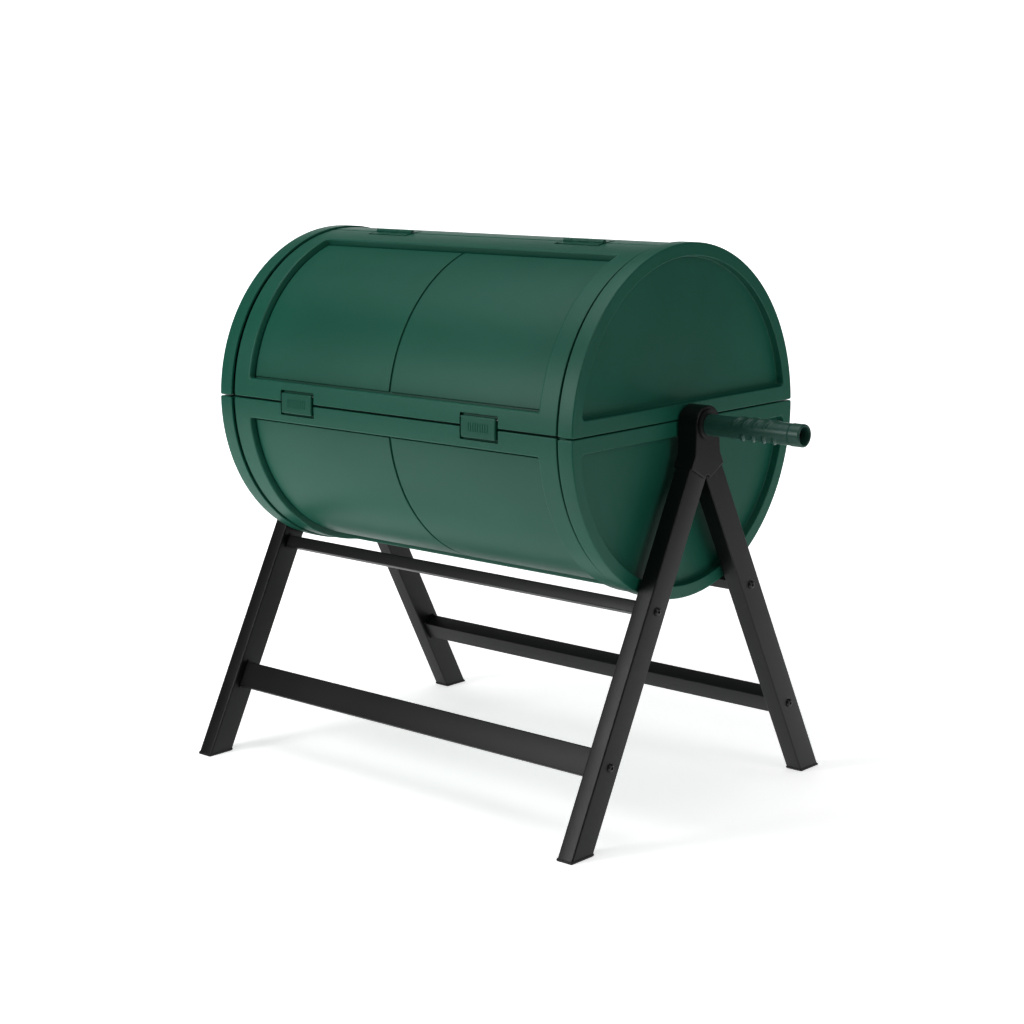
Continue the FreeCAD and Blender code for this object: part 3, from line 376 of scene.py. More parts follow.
def pocket_places(fitting, arc):
    """Where a shell's pockets lie for a pair of fittings, cut through the shell's nearer edge."""
    places = []
    for side in ("left", "right"):
        ends, _, angles = around(f"{fitting}_{side}")
        turns = round((sum(arc) / BODY - sum(angles)) / (4 * math.pi))
        low, high = (s + turns * 2 * math.pi * BODY for s in on_skin(angles))
        low, high = low - POCKET_FREE, high + POCKET_FREE
        places.append(((ends[0] - POCKET_FREE, ends[1] + POCKET_FREE), (low, high)))
    return places


def pocket_pans(shell, made, arc, fittings):
    """Cuts the fittings' pockets out of a shell and gives the pans that close them from inside."""
    pans, cutter = bmesh.new(), bmesh.new()
    for fitting in fittings:
        for ends, span in pocket_places(fitting, arc):
            wide = (ends[0] - POCKET_WALL, ends[1] + POCKET_WALL)
            near = (max(span[0] - POCKET_WALL, arc[0] + SUPPORT),
                    min(span[1] + POCKET_WALL, arc[1] - SUPPORT))
            curved_block(pans, wide, near, (BODY - POCKET_FLOOR - POCKET_WALL, BODY - WALL + SUPPORT))
            curved_block(cutter, ends, span, (BODY - POCKET_FLOOR, BODY + WALL), corner=POCKET_CORNER)
    tool = finish_mesh(shell + "_tool", cutter, SHELL_GREEN)
    floor = finish_mesh(shell + "_pans", pans, SHELL_GREEN)
    for part in (made, floor):
        cut_out(part, tool)
    bpy.data.objects.remove(tool)
    return floor


def rim_lips(shell, end, arc):
    """The lip at each end of a shell that reaches in under the end cap's rim."""
    lips = bmesh.new()
    for side in (-1, 1):
        ends = sorted((side * (end - 2 * WALL), side * (RIM_EDGE + LIP_REACH)))
        curved_block(lips, ends, arc, LIP_RADII, arcs=QUARTER_ARCS)
    return finish_mesh(shell + "_lips", lips, SHELL_GREEN)


for shell, (panels, body, fittings) in QUARTERS.items():
    groove, skirt = (LID_GROOVE, LID_SKIRT) if body == "lid" else (END_GROOVE, SHELL_SKIRT)
    end = RIM_EDGE - groove
    arc = on_skin(around(shell)[2])
    low, high = on_skin(around(f"{panels}_left")[2])
    mesh = bmesh.new()
    add_rings(mesh, frame_rings(end, arc, (low + PANEL_LAP, high - PANEL_LAP), skirt), ends="meet")
    made = finish_mesh(shell + "_moulding", mesh, SHELL_GREEN)
    extras = []
    if fittings:
        extras.append(pocket_pans(shell, made, arc, fittings))
    if body == "drum":
        extras.append(rim_lips(shell, end, arc))
    absorb(made, *extras)
    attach(made, body)
    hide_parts(shell)


# ---------------------------------------- window panels
# Eight thin curved sheets lie under the windows, two to a window, and meet over the centre wall.
# A narrow groove is moulded round each pair, just inside the window's wall, and a finer one between.

PANEL_ROUND = 0.0008
PANEL_GROOVE = 0.0042
SEAM_GROOVE = 0.0012
PANEL_MEET = 0.00005
GROOVE_DEPTH = 0.0027
FLANGE_CORNER = 0.002
FIELD_CORNER = 0.0016


def panel_rings(ends, arc, field_ends, field_arc):
    """The rings of a panel: its flange under the frame, then the raised field inside the groove."""
    def field(inset, radius):
        return wrap(outline((field_ends[0] + inset, field_ends[1] - inset),
                            (field_arc[0] + inset, field_arc[1] - inset), FIELD_CORNER - inset), radius)

    flange, floor = outline(ends, arc, FLANGE_CORNER), PANEL_OUT - GROOVE_DEPTH
    rings = [wrap(flange, PANEL_IN), wrap(flange, floor), field(-SUPPORT, floor)]
    for turn in ROUND_TURNS:
        inset, drop = PANEL_ROUND * (1 - math.cos(turn)), PANEL_ROUND * (1 - math.sin(turn))
        rings.append(field(inset, PANEL_OUT - drop))
    rings.append(field(PANEL_ROUND + SUPPORT, PANEL_OUT))
    return rings


for panels, body, _ in QUARTERS.values():
    for side in ("left", "right"):
        node = f"{panels}_{side}"
        (start, stop), _, angles = around(node)
        arc = on_skin(angles)
        inset = PANEL_LAP + PANEL_GROOVE
        field_arc = (arc[0] + inset, arc[1] - inset)
        if side == "left":
            ends, field_ends = (start, -PANEL_MEET), (start + inset, stop - SEAM_GROOVE)
        else:
            ends, field_ends = (PANEL_MEET, stop), (start + SEAM_GROOVE, stop - inset)
        mesh = bmesh.new()
        add_rings(mesh, panel_rings(ends, arc, field_ends, field_arc))
        made = finish_mesh(node + "_sheet", mesh, PANEL_GREEN)
        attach(made, body)
        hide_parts(node)


# ---------------------------------------- end caps
# Each end of the drum is closed by two half caps: a deep rim, a flat ring, a sunk D-shaped plate
# and a raised band along the split.  They are moulded in the same green and screwed to the hubs.

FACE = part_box("end_cap_right_upper")[1].x
RIM = AXLE_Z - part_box("end_cap_right_lower")[0].z
CAP_RING = 0.021
CAP_BAND = 0.024
CAP_DEPTH = 0.013
CAP_CORNER = 0.008
INNER_CORNER = 0.002
OUTER_CORNER = 0.003
RIM_BEVEL = 0.0006
RIM_ROUND = 0.0022
SPLIT_ROUND = 0.0012
LIP_ROUND = 0.0013
SPLIT_BLEND = 1.2
ARC_STEPS = 84


def half_disc(radius, height, corner):
    """Points round half a disc above a level line, its two corners rounded."""
    reach = math.sqrt((radius - corner) ** 2 - (height + corner) ** 2)
    start = math.atan2(height + corner, reach)
    points = []
    for step in range(CORNER_STEPS + 1):
        turn = -math.pi / 2 + (start + math.pi / 2) * step / CORNER_STEPS
        points.append((reach + corner * math.cos(turn), height + corner + corner * math.sin(turn), turn))
    for step in range(1, ARC_STEPS):
        turn = start + (math.pi - 2 * start) * step / ARC_STEPS
        points.append((radius * math.cos(turn), radius * math.sin(turn), turn))
    for step in range(CORNER_STEPS + 1):
        turn = math.pi - start + (start + math.pi / 2) * step / CORNER_STEPS
        points.append((corner * math.cos(turn) - reach, height + corner + corner * math.sin(turn), turn))
    return points


def cap_ring(side, way, arc_x, radius, edge_x, height, corner):
    """A half-disc ring whose round part and straight part may stand at different places along X."""
    ring = []
    for y, v, turn in half_disc(radius, height, corner):
        share = min((math.sin(turn) + 1) * SPLIT_BLEND, 1.0) if math.sin(turn) < 0 else 1.0
        ring.append((side * (edge_x + (arc_x - edge_x) * share), y, AXLE_Z + way * v))
    return ring


def cap_rings(side, way, start):
    """The rings of a half cap, from inside the sunk plate round the rim to the plate's face."""
    def ring(arc_x, radius, edge_x, height, corner=INNER_CORNER):
        return cap_ring(side, way, arc_x, radius, edge_x, height, corner)

    inside, hollow = FACE - CAP_DEPTH - WALL, RIM - CAP_RING + WALL
    rings = [
        ring(inside, hollow, inside, start),
        ring(FACE - WALL, hollow, inside, start),
        ring(FACE - WALL, RIM - WALL, inside, start),
        ring(RIM_EDGE, RIM - WALL, inside, start),
        ring(RIM_EDGE, RIM - RIM_BEVEL, inside, start),
        ring(RIM_EDGE + RIM_BEVEL, RIM, inside + RIM_BEVEL, start),
    ]
    for turn in ROUND_TURNS:
        into, down = 1 - math.cos(turn), 1 - math.sin(turn)
        rings.append(ring(FACE - RIM_ROUND * down, RIM - RIM_ROUND * into,
                          FACE - SPLIT_ROUND * down, start + SPLIT_ROUND * into, OUTER_CORNER))
    rings.append(ring(FACE, RIM - RIM_ROUND - SUPPORT,
                      FACE, start + SPLIT_ROUND + SUPPORT, OUTER_CORNER))
    recess, band, floor = RIM - CAP_RING, start + CAP_BAND, FACE - CAP_DEPTH
    rings.append(ring(FACE, recess + LIP_ROUND + SUPPORT,
                      FACE, band - LIP_ROUND - SUPPORT, CAP_CORNER))
    for turn in ROUND_TURNS:
        out, drop = LIP_ROUND * (1 - math.sin(turn)), LIP_ROUND * (1 - math.cos(turn))
        rings.append(ring(FACE - drop, recess + out, FACE - drop, band - out, CAP_CORNER))
    for turn in ROUND_TURNS:
        into, rise = LIP_ROUND * (1 - math.cos(turn)), LIP_ROUND * (1 - math.sin(turn))
        inset = DRAFT + into
        rings.append(ring(floor + rise, recess - inset, floor + rise, band + inset, CAP_CORNER - into))
    inset = DRAFT + LIP_ROUND + SUPPORT
    rings.append(ring(floor, recess - inset, floor, band + inset, CAP_CORNER - LIP_ROUND))
    return rings


for side_name, side in (("left", -1), ("right", 1)):
    for level, way in (("upper", 1), ("lower", -1)):
        node = f"end_cap_{side_name}_{level}"
        low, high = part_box(node)
        start = low.z - AXLE_Z if way > 0 else AXLE_Z - high.z
        mesh = bmesh.new()
        add_rings(mesh, cap_rings(side, way, start), ends="face")
        made = finish_mesh(node + "_moulding", mesh, SHELL_GREEN)
        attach(made, "drum")
        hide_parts(node)


# ---------------------------------------- latches
# Two snap latches swing on pins in the lid and close over the split.  Each is a green block that
# follows the drum's skin, with a row of fine grip ribs, all in one moulding.

FITTING_GREEN = moulded_plastic("green_fittings", (0.0052, 0.102, 0.065), (0.0070, 0.116, 0.075), 0.42)
LATCH_ROUND = 0.0018
LATCH_CORNER = 0.003
RIB_COUNT = 9
RIB_RISE = 0.0007
RIB_RADIUS = RIB_RISE * 1.6
RIB_ROW_SHARE = 0.62
RIB_LENGTH_SHARE = 0.4
RIB_SIDES = 12


def new_tree(name, **inputs):
    """A node tree with named inputs and one output of geometry."""
    tree = bpy.data.node_groups.new(name, "GeometryNodeTree")
    for label, kind in inputs.items():
        tree.interface.new_socket(label, in_out="INPUT", socket_type=f"NodeSocket{kind}")
    tree.interface.new_socket("Result", in_out="OUTPUT", socket_type="NodeSocketGeometry")
    return tree, tree.nodes.new("NodeGroupInput").outputs


def tree_node(tree, kind, feeds, output=0, **settings):
    """Adds a node with its settings and the values or links of its sockets."""
    made = tree.nodes.new(kind)
    for name, setting in settings.items():
        setattr(made, name, setting)
    for key, value in feeds.items():
        if isinstance(value, bpy.types.NodeSocket):
            tree.links.new(value, made.inputs[key])
        else:
            made.inputs[key].default_value = value
    return made.outputs[output]


def end_tree(tree, geometry, material):
    """Turns a tree's copies into one mesh, gives it its material and hands it out."""
    real = tree_node(tree, "GeometryNodeRealizeInstances", {0: geometry})
    coated = tree_node(tree, "GeometryNodeSetMaterial", {"Geometry": real, "Material": material})
    tree.links.new(coated, tree.nodes.new("NodeGroupOutput").inputs[0])
    return tree


def rib_tree():
    """Rounded bars in a row along X, drawn from a count, a length and a pitch."""
    tree, given = new_tree("moulded_ribs", Count="Int", Pitch="Float", Length="Float", Radius="Float",
                           Centre="Vector", Lean="Float", Material="Material")
    step = tree_node(tree, "ShaderNodeCombineXYZ", {"X": given["Pitch"]})
    row = tree_node(tree, "GeometryNodeMeshLine", {"Count": given["Count"], "Offset": step})
    bar = tree_node(tree, "GeometryNodeMeshCylinder", {
        "Vertices": RIB_SIDES, "Radius": given["Radius"], "Depth": given["Length"]})
    lean = tree_node(tree, "ShaderNodeCombineXYZ", {"X": given["Lean"]})
    bars = tree_node(tree, "GeometryNodeInstanceOnPoints", {
        "Points": row, "Instance": bar, "Rotation": lean})
    half = tree_node(tree, "ShaderNodeMath", {0: given["Count"], 1: -0.5, 2: 0.5},
                     operation="MULTIPLY_ADD")
    back = tree_node(tree, "ShaderNodeVectorMath", {0: step, "Scale": half}, operation="SCALE")
    start = tree_node(tree, "ShaderNodeVectorMath", {0: back, 1: given["Centre"]}, operation="ADD")
    moved = tree_node(tree, "GeometryNodeTransform", {"Geometry": bars, "Translation": start})
    return end_tree(tree, moved, given["Material"])


def grown(name, tree, points=(), **values):
    """Runs a node tree once on loose points and keeps its result as a plain mesh."""
    holder = bpy.data.objects.new(name, bpy.data.meshes.new(name))
    holder.data.from_pydata(points, [], [])
    bpy.context.scene.collection.objects.link(holder)
    step = holder.modifiers.new("grow", "NODES")
    step.node_group = tree
    for item in tree.interface.items_tree:
        if item.in_out == "INPUT" and item.name in values:
            step[item.identifier] = values[item.name]
    evaluated = holder.evaluated_get(bpy.context.evaluated_depsgraph_get())
    data = bpy.data.meshes.new_from_object(evaluated)
    holder.modifiers.remove(step)
    holder.data = data
    return holder


RIBS = rib_tree()
for side in ("left", "right"):
    node = f"latch_{side}"
    ends, radii, angles = around(node)
    low, high = on_skin(angles)
    mesh = bmesh.new()
    curved_block(mesh, ends, (low, high), radii, LATCH_ROUND, corner=LATCH_CORNER, arcs=10)
    made = finish_mesh(node + "_moulding", mesh, FITTING_GREEN)
    middle = (low + high) / 2 / BODY
    reach = radii[1] + RIB_RISE - RIB_RADIUS
    centre = ((ends[0] + ends[1]) / 2, reach * math.cos(middle), AXLE_Z + reach * math.sin(middle))
    ribs = grown(node + "_ribs", RIBS, Count=RIB_COUNT, Centre=centre, Lean=middle,
                 Pitch=(ends[1] - ends[0]) * RIB_ROW_SHARE / RIB_COUNT, Radius=RIB_RADIUS,
                 Length=(high - low) * RIB_LENGTH_SHARE, Material=FITTING_GREEN)
    absorb(made, ribs)
    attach(made, node)
    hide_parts(node)


# ---------------------------------------- hinges
# Two hinges join the lid to the upper back shell.  A green leaf is let into each side of the seam,
# and their knuckles take turns round a steel pin.

KNUCKLE_ROUND = 0.0007

for side in ("left", "right"):
    for body in ("drum", "lid"):
        node = f"hinge_leaf_{body}_{side}"
        mesh = bmesh.new()
        mesh.from_mesh(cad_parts[node].data)
        bmesh.ops.remove_doubles(mesh, verts=mesh.verts, dist=1e-6)
        bmesh.ops.dissolve_limit(mesh, angle_limit=math.radians(1), verts=mesh.verts, edges=mesh.edges)
        made = finish_mesh(node + "_moulding", mesh, FITTING_GREEN, sharp=math.radians(30))
        edge = made.modifiers.new("edge", "BEVEL")
        edge.width, edge.segments = KNUCKLE_ROUND, 2
        edge.limit_method, edge.angle_limit = "ANGLE", math.radians(50)
        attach(made, body)
        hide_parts(node)


# ---------------------------------------- handle grip
# The grip is a moulded sleeve pushed over the axle's end: a smooth neck, four slanting ribs above
# and below, a smooth stripe along each side and a thick round collar with an open end.

GRIP_GREEN = moulded_plastic("green_grip", (0.018, 0.082, 0.060), (0.025, 0.098, 0.074), 0.34,
                             grain_size=0.0012)
GRIP_WALL = 0.003
COLLAR = 0.022
COLLAR_RISE = 0.0008
COLLAR_SLOPE = 0.002
END_ROUND = 0.0025
BORE_CHAMFER = 0.0008
BORE_DEPTH = 0.0165
RIB_ROWS = 4
RIB_START = 0.059
RIB_PITCH = 0.0195
RIB_WIDTH = 0.0085
RIB_HEIGHT = 0.0021
RIB_SLANT = 0.010
RIB_SHOULDER = 0.7
STRIPE_EDGE = 0.3
STRIPE_FADE = 0.2
GRIP_TURNS = 96
GRIP_STEP = 0.00125

(grip_start, grip_end), (grip_bore, _), _ = around("handle_grip")
grip_radius = grip_bore + GRIP_WALL


def soft_step(value):
    """0 below 0 and 1 above 1, with a smooth rise between."""
    value = min(max(value, 0.0), 1.0)
    return value * value * (3 - 2 * value)


def grip_surface(x, turn):
    """The grip's outer radius at a place along it and an angle round it."""
    radius = grip_radius + COLLAR_RISE * soft_step((x - (grip_end - COLLAR)) / COLLAR_SLOPE)
    stripe = soft_step((abs(math.sin(turn)) - STRIPE_EDGE) / STRIPE_FADE)
    slant = RIB_SLANT * math.cos(turn) * (1 if math.sin(turn) > 0 else -1)
    for index in range(RIB_ROWS):
        centre = grip_start + RIB_START + RIB_WIDTH / 2 + index * RIB_PITCH
        distance = abs(x - centre - slant) / (RIB_WIDTH / 2)
        radius += RIB_HEIGHT * stripe * soft_step((1 - distance) / RIB_SHOULDER)
    return radius


def lathe(places, radius_at):
    """Rings round the axle at some places along it, with a radius for each place and angle."""
    turns = [2 * math.pi * i / GRIP_TURNS for i in range(GRIP_TURNS)]
    return [[(x, radius_at(x, turn) * math.cos(turn), AXLE_Z + radius_at(x, turn) * math.sin(turn))
             for turn in turns] for x in places]


barrel = grip_end - END_ROUND - grip_start
steps = int(barrel / GRIP_STEP)
rings = lathe([grip_start + barrel * i / steps for i in range(steps + 1)], grip_surface)
for turn in ROUND_TURNS[1:]:
    rounded = grip_radius + COLLAR_RISE - END_ROUND * (1 - math.cos(turn))
    rings += lathe([grip_end - END_ROUND + END_ROUND * math.sin(turn)], lambda x, turn: rounded)
rings += lathe([grip_end], lambda x, turn: grip_bore + BORE_CHAMFER)
bore_places = [grip_end - BORE_CHAMFER, grip_end - BORE_DEPTH, grip_start]
rings += lathe(bore_places, lambda x, turn: grip_bore)
mesh = bmesh.new()
add_rings(mesh, rings, ends="meet")
made = finish_mesh("handle_grip_moulding", mesh, GRIP_GREEN, sharp=math.radians(50))
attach(made, "drum")
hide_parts("handle_grip")


# ---------------------------------------- legs
# Four lengths of rectangular steel tube with rolled corners, cut level at the foot and clamped in
# the heads above.  They are powder coated black, a satin coat with a slight orange peel.

COAT_WEAR = 1.5
COAT_GLOSS = 0.16
PEEL_GLOSS = 0.08


def powder_coat(name, colour, rough):
    """A black coat with a fine orange peel and slow changes of gloss."""
    finish = Finish(name)
    peel = finish.noise(420, 2.0)
    clouds = finish.noise(7.0, 3.0)
    worn = tuple(c * COAT_WEAR for c in colour)
    finish.set(Base_Color=finish.between(clouds, colour, worn))
    finish.set(Roughness=rough + (clouds - 0.5) * COAT_GLOSS + (peel - 0.5) * PEEL_GLOSS)
    finish.relief(peel, 0.00012, 0.5)
    return finish.material


FRAME_BLACK = powder_coat("black_frame", (0.0022, 0.0022, 0.0024), 0.40)
TUBE_ROUND = 0.0025
SLANT_STRETCH = 1.12
MITRE_GAP = 0.0002
TUBE_STEPS = 5


def tube_section(width, depth, round_w, round_d):
    """Points round a rectangle about (0, 0) with round corners."""
    points = []
    for w, d, start in ((1, -1, -90), (1, 1, 0), (-1, 1, 90), (-1, -1, 180)):
        for step in range(TUBE_STEPS + 1):
            turn = math.radians(start + 90 * step / TUBE_STEPS)
            points.append((w * (width / 2 - round_w) + round_w * math.cos(turn),
                           d * (depth / 2 - round_d) + round_d * math.sin(turn)))
    return points


def level_span(node, height, slack=0.0004):
    """The Y reach of a node's corners that lie at one height."""
    ys = [v.co.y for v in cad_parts[node].data.vertices if abs(v.co.z - height) < slack]
    return min(ys), max(ys)


for side_name in ("left", "right"):
    for way_name, way in (("front", -1), ("back", 1)):
        node = f"leg_{way_name}_{side_name}"
        low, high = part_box(node)
        near, far = sorted(abs(y) for y in level_span(node, low.z))
        top = max(abs(y) for y in level_span(node, high.z))
        across = far - near
        lean = (far - top) / (high.z - low.z)
        section = tube_section(across, high.x - low.x, TUBE_ROUND * SLANT_STRETCH, TUBE_ROUND)
        crotch = low.z + near / lean
        rings = []
        for height in (low.z, crotch, (crotch + high.z) / 2, high.z):
            middle = (near + far) / 2 - (height - low.z) * lean
            rings.append([((low.x + high.x) / 2 + x, way * max(middle + y, MITRE_GAP), height)
                          for y, x in section])
        mesh = bmesh.new()
        add_rings(mesh, rings, ends="face")
        made = finish_mesh(node + "_tube", mesh, FRAME_BLACK)
        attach(made, "stand")
        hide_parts(node)


# ---------------------------------------- crossbars and their end plates
# Two square tubes run under the drum and two larger ones near the floor, leaning with the legs.
# Each end carries a small welded plate that the bolts pull against the leg.

LEAN = math.atan(lean)
BAR_ROUND = 0.0018
BAR_CHAMFER = 0.0004
PLATE_PROUD = 0.003
PLATE_ROUND = 0.0012

# Which way each bar leans: the front ones to the front, the back ones to the back.
BARS = {"crossbar_front_upper": -1, "crossbar_front_lower": -1,
        "crossbar_back_upper": 1, "crossbar_back_lower": 1}


def leaning_size(node, way):
    """A leaning bar's middle, and its size across the leg and along it."""
    y, z = np.array([v.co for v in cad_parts[node].data.vertices])[:, 1:].T
    middle = ((y.min() + y.max()) / 2, (z.min() + z.max()) / 2)
    return (middle, np.ptp(y * math.cos(LEAN) + way * z * math.sin(LEAN)),
            np.ptp(z * math.cos(LEAN) - way * y * math.sin(LEAN)))


def leaning_bar(mesh, ends, middle, width, height, way, rounding):
    """A rectangular bar along X, leaning with the legs, its ends a little chamfered."""
    rings = []
    for x, inset in ((ends[0], BAR_CHAMFER), (ends[0] + BAR_CHAMFER, 0),
                     (ends[1] - BAR_CHAMFER, 0), (ends[1], BAR_CHAMFER)):
        section = tube_section(width - 2 * inset, height - 2 * inset, rounding, rounding)
        rings.append([(x, middle[0] + w * math.cos(LEAN) - way * d * math.sin(LEAN),
                       middle[1] + way * w * math.sin(LEAN) + d * math.cos(LEAN)) for w, d in section])
    add_rings(mesh, rings, ends="face")


plates = bmesh.new()
plate_low, plate_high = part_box("bar_end_plates")
for node, way in BARS.items():
    middle, width, height = leaning_size(node, way)
    bar_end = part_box(node)[1].x
    mesh = bmesh.new()
    leaning_bar(mesh, (-bar_end, bar_end), middle, width, height, way, BAR_ROUND)
    made = finish_mesh(node + "_tube", mesh, FRAME_BLACK)
    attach(made, "stand")
    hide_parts(node)
    for ends in ((bar_end, plate_high.x), (plate_low.x, -bar_end)):
        leaning_bar(plates, ends, middle, width, height + 2 * PLATE_PROUD, way, PLATE_ROUND)
made = finish_mesh("bar_end_plates_welded", plates, FRAME_BLACK)
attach(made, "stand")
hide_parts("bar_end_plates")


# ---------------------------------------- heads
# A cast head clamps each pair of legs: a sleeve over both, drawn up into a round boss that holds
# the bush.  The casting has generous round edges and the same black coat.

leg_low, leg_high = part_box("leg_back_right")
LEG_WIDTH = across * math.cos(LEAN)
LEG_FOOT = leg_high.y + leg_low.z * math.tan(LEAN)
HEAD_WALL = 0.0015
HEAD_ROUND = 0.0024
HEAD_MERGE = 0.045
CROTCH_ROUND = 0.006
BOSS_START = math.radians(-12)
BOSS_STEPS = 30


def head_outline(low, boss):
    """The head's face as (Y, Z) corners: boss, shoulders, sleeve ends and the round crotch."""
    def outer(z):
        return LEG_FOOT - z * math.tan(LEAN) + HEAD_WALL / math.cos(LEAN)

    shoulder, merge = low + LEG_WIDTH * math.sin(LEAN), AXLE_Z - HEAD_MERGE
    turns = [BOSS_START + (math.pi - 2 * BOSS_START) * i / BOSS_STEPS for i in range(BOSS_STEPS + 1)]
    top = [(boss * math.cos(turn), AXLE_Z + boss * math.sin(turn)) for turn in turns]
    left = [(-outer(merge), merge), (-outer(shoulder), shoulder)]
    arch = [(CROTCH_ROUND * math.cos(turn), low + CROTCH_ROUND * math.sin(turn))
            for turn in np.linspace(math.pi, 0, 7)]
    right = [(outer(shoulder), shoulder), (outer(merge), merge)]
    return top + left + arch + right


for side_name in ("left", "right"):
    node = f"head_{side_name}"
    low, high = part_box(node)
    mesh = bmesh.new()
    corners = [mesh.verts.new((low.x, y, z)) for y, z in head_outline(low.z, high.z - AXLE_Z)]
    pushed = bmesh.ops.extrude_face_region(mesh, geom=[mesh.faces.new(corners)])
    moved = [v for v in pushed["geom"] if isinstance(v, bmesh.types.BMVert)]
    bmesh.ops.translate(mesh, verts=moved, vec=(high.x - low.x, 0, 0))
    made = finish_mesh(node + "_casting", mesh, FRAME_BLACK, sharp=math.radians(40))
    edge = made.modifiers.new("edge", "BEVEL")
    edge.width, edge.segments = HEAD_ROUND, 4
    edge.limit_method, edge.angle_limit = "ANGLE", math.radians(30)
    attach(made, "stand")
    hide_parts(node)


# ---------------------------------------- feet
# Moulded black caps close the legs' lower ends, so that the tube doesn't stand in the wet.  They
# lean with the legs and have a rounded lower edge.

PLASTIC_BLACK = moulded_plastic("black_plastic", (0.011, 0.011, 0.0115), (0.016, 0.016, 0.0165), 0.5)
FOOT_HEIGHT = leg_low.z
FOOT_CORNER = 0.0022
FOOT_ROUND = 0.0012
FOOT_CHAMFER = 0.0005

for side_name in ("left", "right"):
    for way_name, way in (("front", -1), ("back", 1)):
        node = f"foot_{way_name}_{side_name}"
        low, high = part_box(node)
        near, far = sorted(abs(y) for y in level_span(node, 0.0))
        rings = []
        for z, inset in ((0, FOOT_ROUND), (FOOT_ROUND, 0),
                         (FOOT_HEIGHT - FOOT_CHAMFER, 0), (FOOT_HEIGHT, FOOT_CHAMFER)):
            middle = (near + far) / 2 - z * math.tan(LEAN)
            section = tube_section(far - near - 2 * inset, high.x - low.x - 2 * inset,
                                   FOOT_CORNER, FOOT_CORNER)
            rings.append([((low.x + high.x) / 2 + x, way * (middle + y), z) for y, x in section])
        mesh = bmesh.new()
        add_rings(mesh, rings, ends="face")
        made = finish_mesh(node + "_cap", mesh, PLASTIC_BLACK)
        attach(made, "stand")
        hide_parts(node)


# ---------------------------------------- frame bolts
# Button-head bolts go through the legs into the crossbars' end plates.  Their heads are low domes
# with a hexagon socket, in black oxide.

BOLT_BLACK = powder_coat("black_bolts", (0.010, 0.010, 0.011), 0.3)
BOLT_RADIUS = 0.007
BOLT_HEAD = 0.004
BOLT_SIDES = 24
DOME_START = 0.35
DOME_STEPS = 7
SOCKET = 0.0026
SOCKET_RIM = 0.0008
SOCKET_DEPTH = 0.0022


def bolt_head():
    """One bolt head along +X from the origin: a dome with a six-sided socket."""
    turns = [2 * math.pi * i / BOLT_SIDES for i in range(BOLT_SIDES)]
    fall = BOLT_RADIUS - SOCKET - SOCKET_RIM
    dome = [(BOLT_HEAD * math.sin(rise), BOLT_RADIUS - fall * (1 - math.cos(rise)))
            for rise in np.linspace(DOME_START, math.pi / 2, DOME_STEPS)]
    rings = [[(x, r * math.cos(turn), r * math.sin(turn)) for turn in turns]
             for x, r in [(0, BOLT_RADIUS), *dome]]
    flat = SOCKET * math.cos(math.pi / 6)
    hexagon = [(flat / math.cos(turn % (math.pi / 3) - math.pi / 6), turn) for turn in turns]
    for x in (BOLT_HEAD, BOLT_HEAD - SOCKET_DEPTH):
        rings.append([(x, r * math.cos(turn), r * math.sin(turn)) for r, turn in hexagon])
    mesh = bmesh.new()
    add_rings(mesh, rings, ends="face")
    return finish_mesh("bolt_head_pattern", mesh, BOLT_BLACK)


def fastener_tree():
    """Copies of one pattern on the points of a mesh, turned to face outwards along X."""
    tree, given = new_tree("fasteners", Points="Geometry", Pattern="Object", Material="Material")
    pattern = tree_node(tree, "GeometryNodeObjectInfo", {0: given["Pattern"]}, output="Geometry")
    place = tree_node(tree, "GeometryNodeInputPosition", {})
    along = tree_node(tree, "ShaderNodeSeparateXYZ", {0: place})
    left = tree_node(tree, "ShaderNodeMath", {0: along, 1: 0.0}, operation="LESS_THAN")
    half_turn = tree_node(tree, "ShaderNodeMath", {0: left, 1: math.pi}, operation="MULTIPLY")
    turn = tree_node(tree, "ShaderNodeCombineXYZ", {"Z": half_turn})
    copies = tree_node(tree, "GeometryNodeInstanceOnPoints", {
        "Points": given["Points"], "Instance": pattern, "Rotation": turn})
    return end_tree(tree, copies, given["Material"])


leg_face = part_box("leg_front_right")[1].x
bolt_places = [(side * leg_face, *leaning_size(node, way)[0])
               for node, way in BARS.items() for side in (-1, 1)]
pattern = bolt_head()
made = grown("frame_bolt_heads", fastener_tree(), bolt_places, Pattern=pattern, Material=BOLT_BLACK)
bpy.data.objects.remove(pattern)
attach(made, "stand")
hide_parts("frame_bolts")


# ---------------------------------------- inner parts, bushes and pins
# What is seen through the open lid or in the gaps keeps its turned or sawn shape: the axle, hubs,
# mixing bars, centre wall, jamb and strips, with the steel pins and the rubber seal.

DULL_ZINC = 0.72
DRAWN_GLOSS = 0.22
PORE_GLOSS = 0.2


def plated_steel(name, colour, rough):
    """Zinc plate with fine drawing marks along X and duller blotches."""
    finish = Finish(name)
    brushed = finish.noise(160, 3.0, stretch=(0.06, 1, 1))
    blotch = finish.noise(22.0, 3.0)
    dull = tuple(c * DULL_ZINC for c in colour)
    finish.set(Base_Color=finish.between(blotch, dull, colour), Metallic=1.0)
    finish.set(Roughness=rough + (brushed - 0.5) * DRAWN_GLOSS)
    finish.relief(brushed, 0.00004, 0.5)
    return finish.material


def seal_rubber(name):
    """Dull rubber with a pale bloom."""
    finish = Finish(name)
    pores = finish.noise(900, 2.0)
    bloom = finish.noise(14.0, 3.0)
    finish.set(Base_Color=finish.between(bloom, (0.012, 0.012, 0.012), (0.026, 0.025, 0.024)))
    finish.set(Roughness=0.78 + (pores - 0.5) * PORE_GLOSS)
    finish.relief(pores, 0.0001, 0.6)
    return finish.material


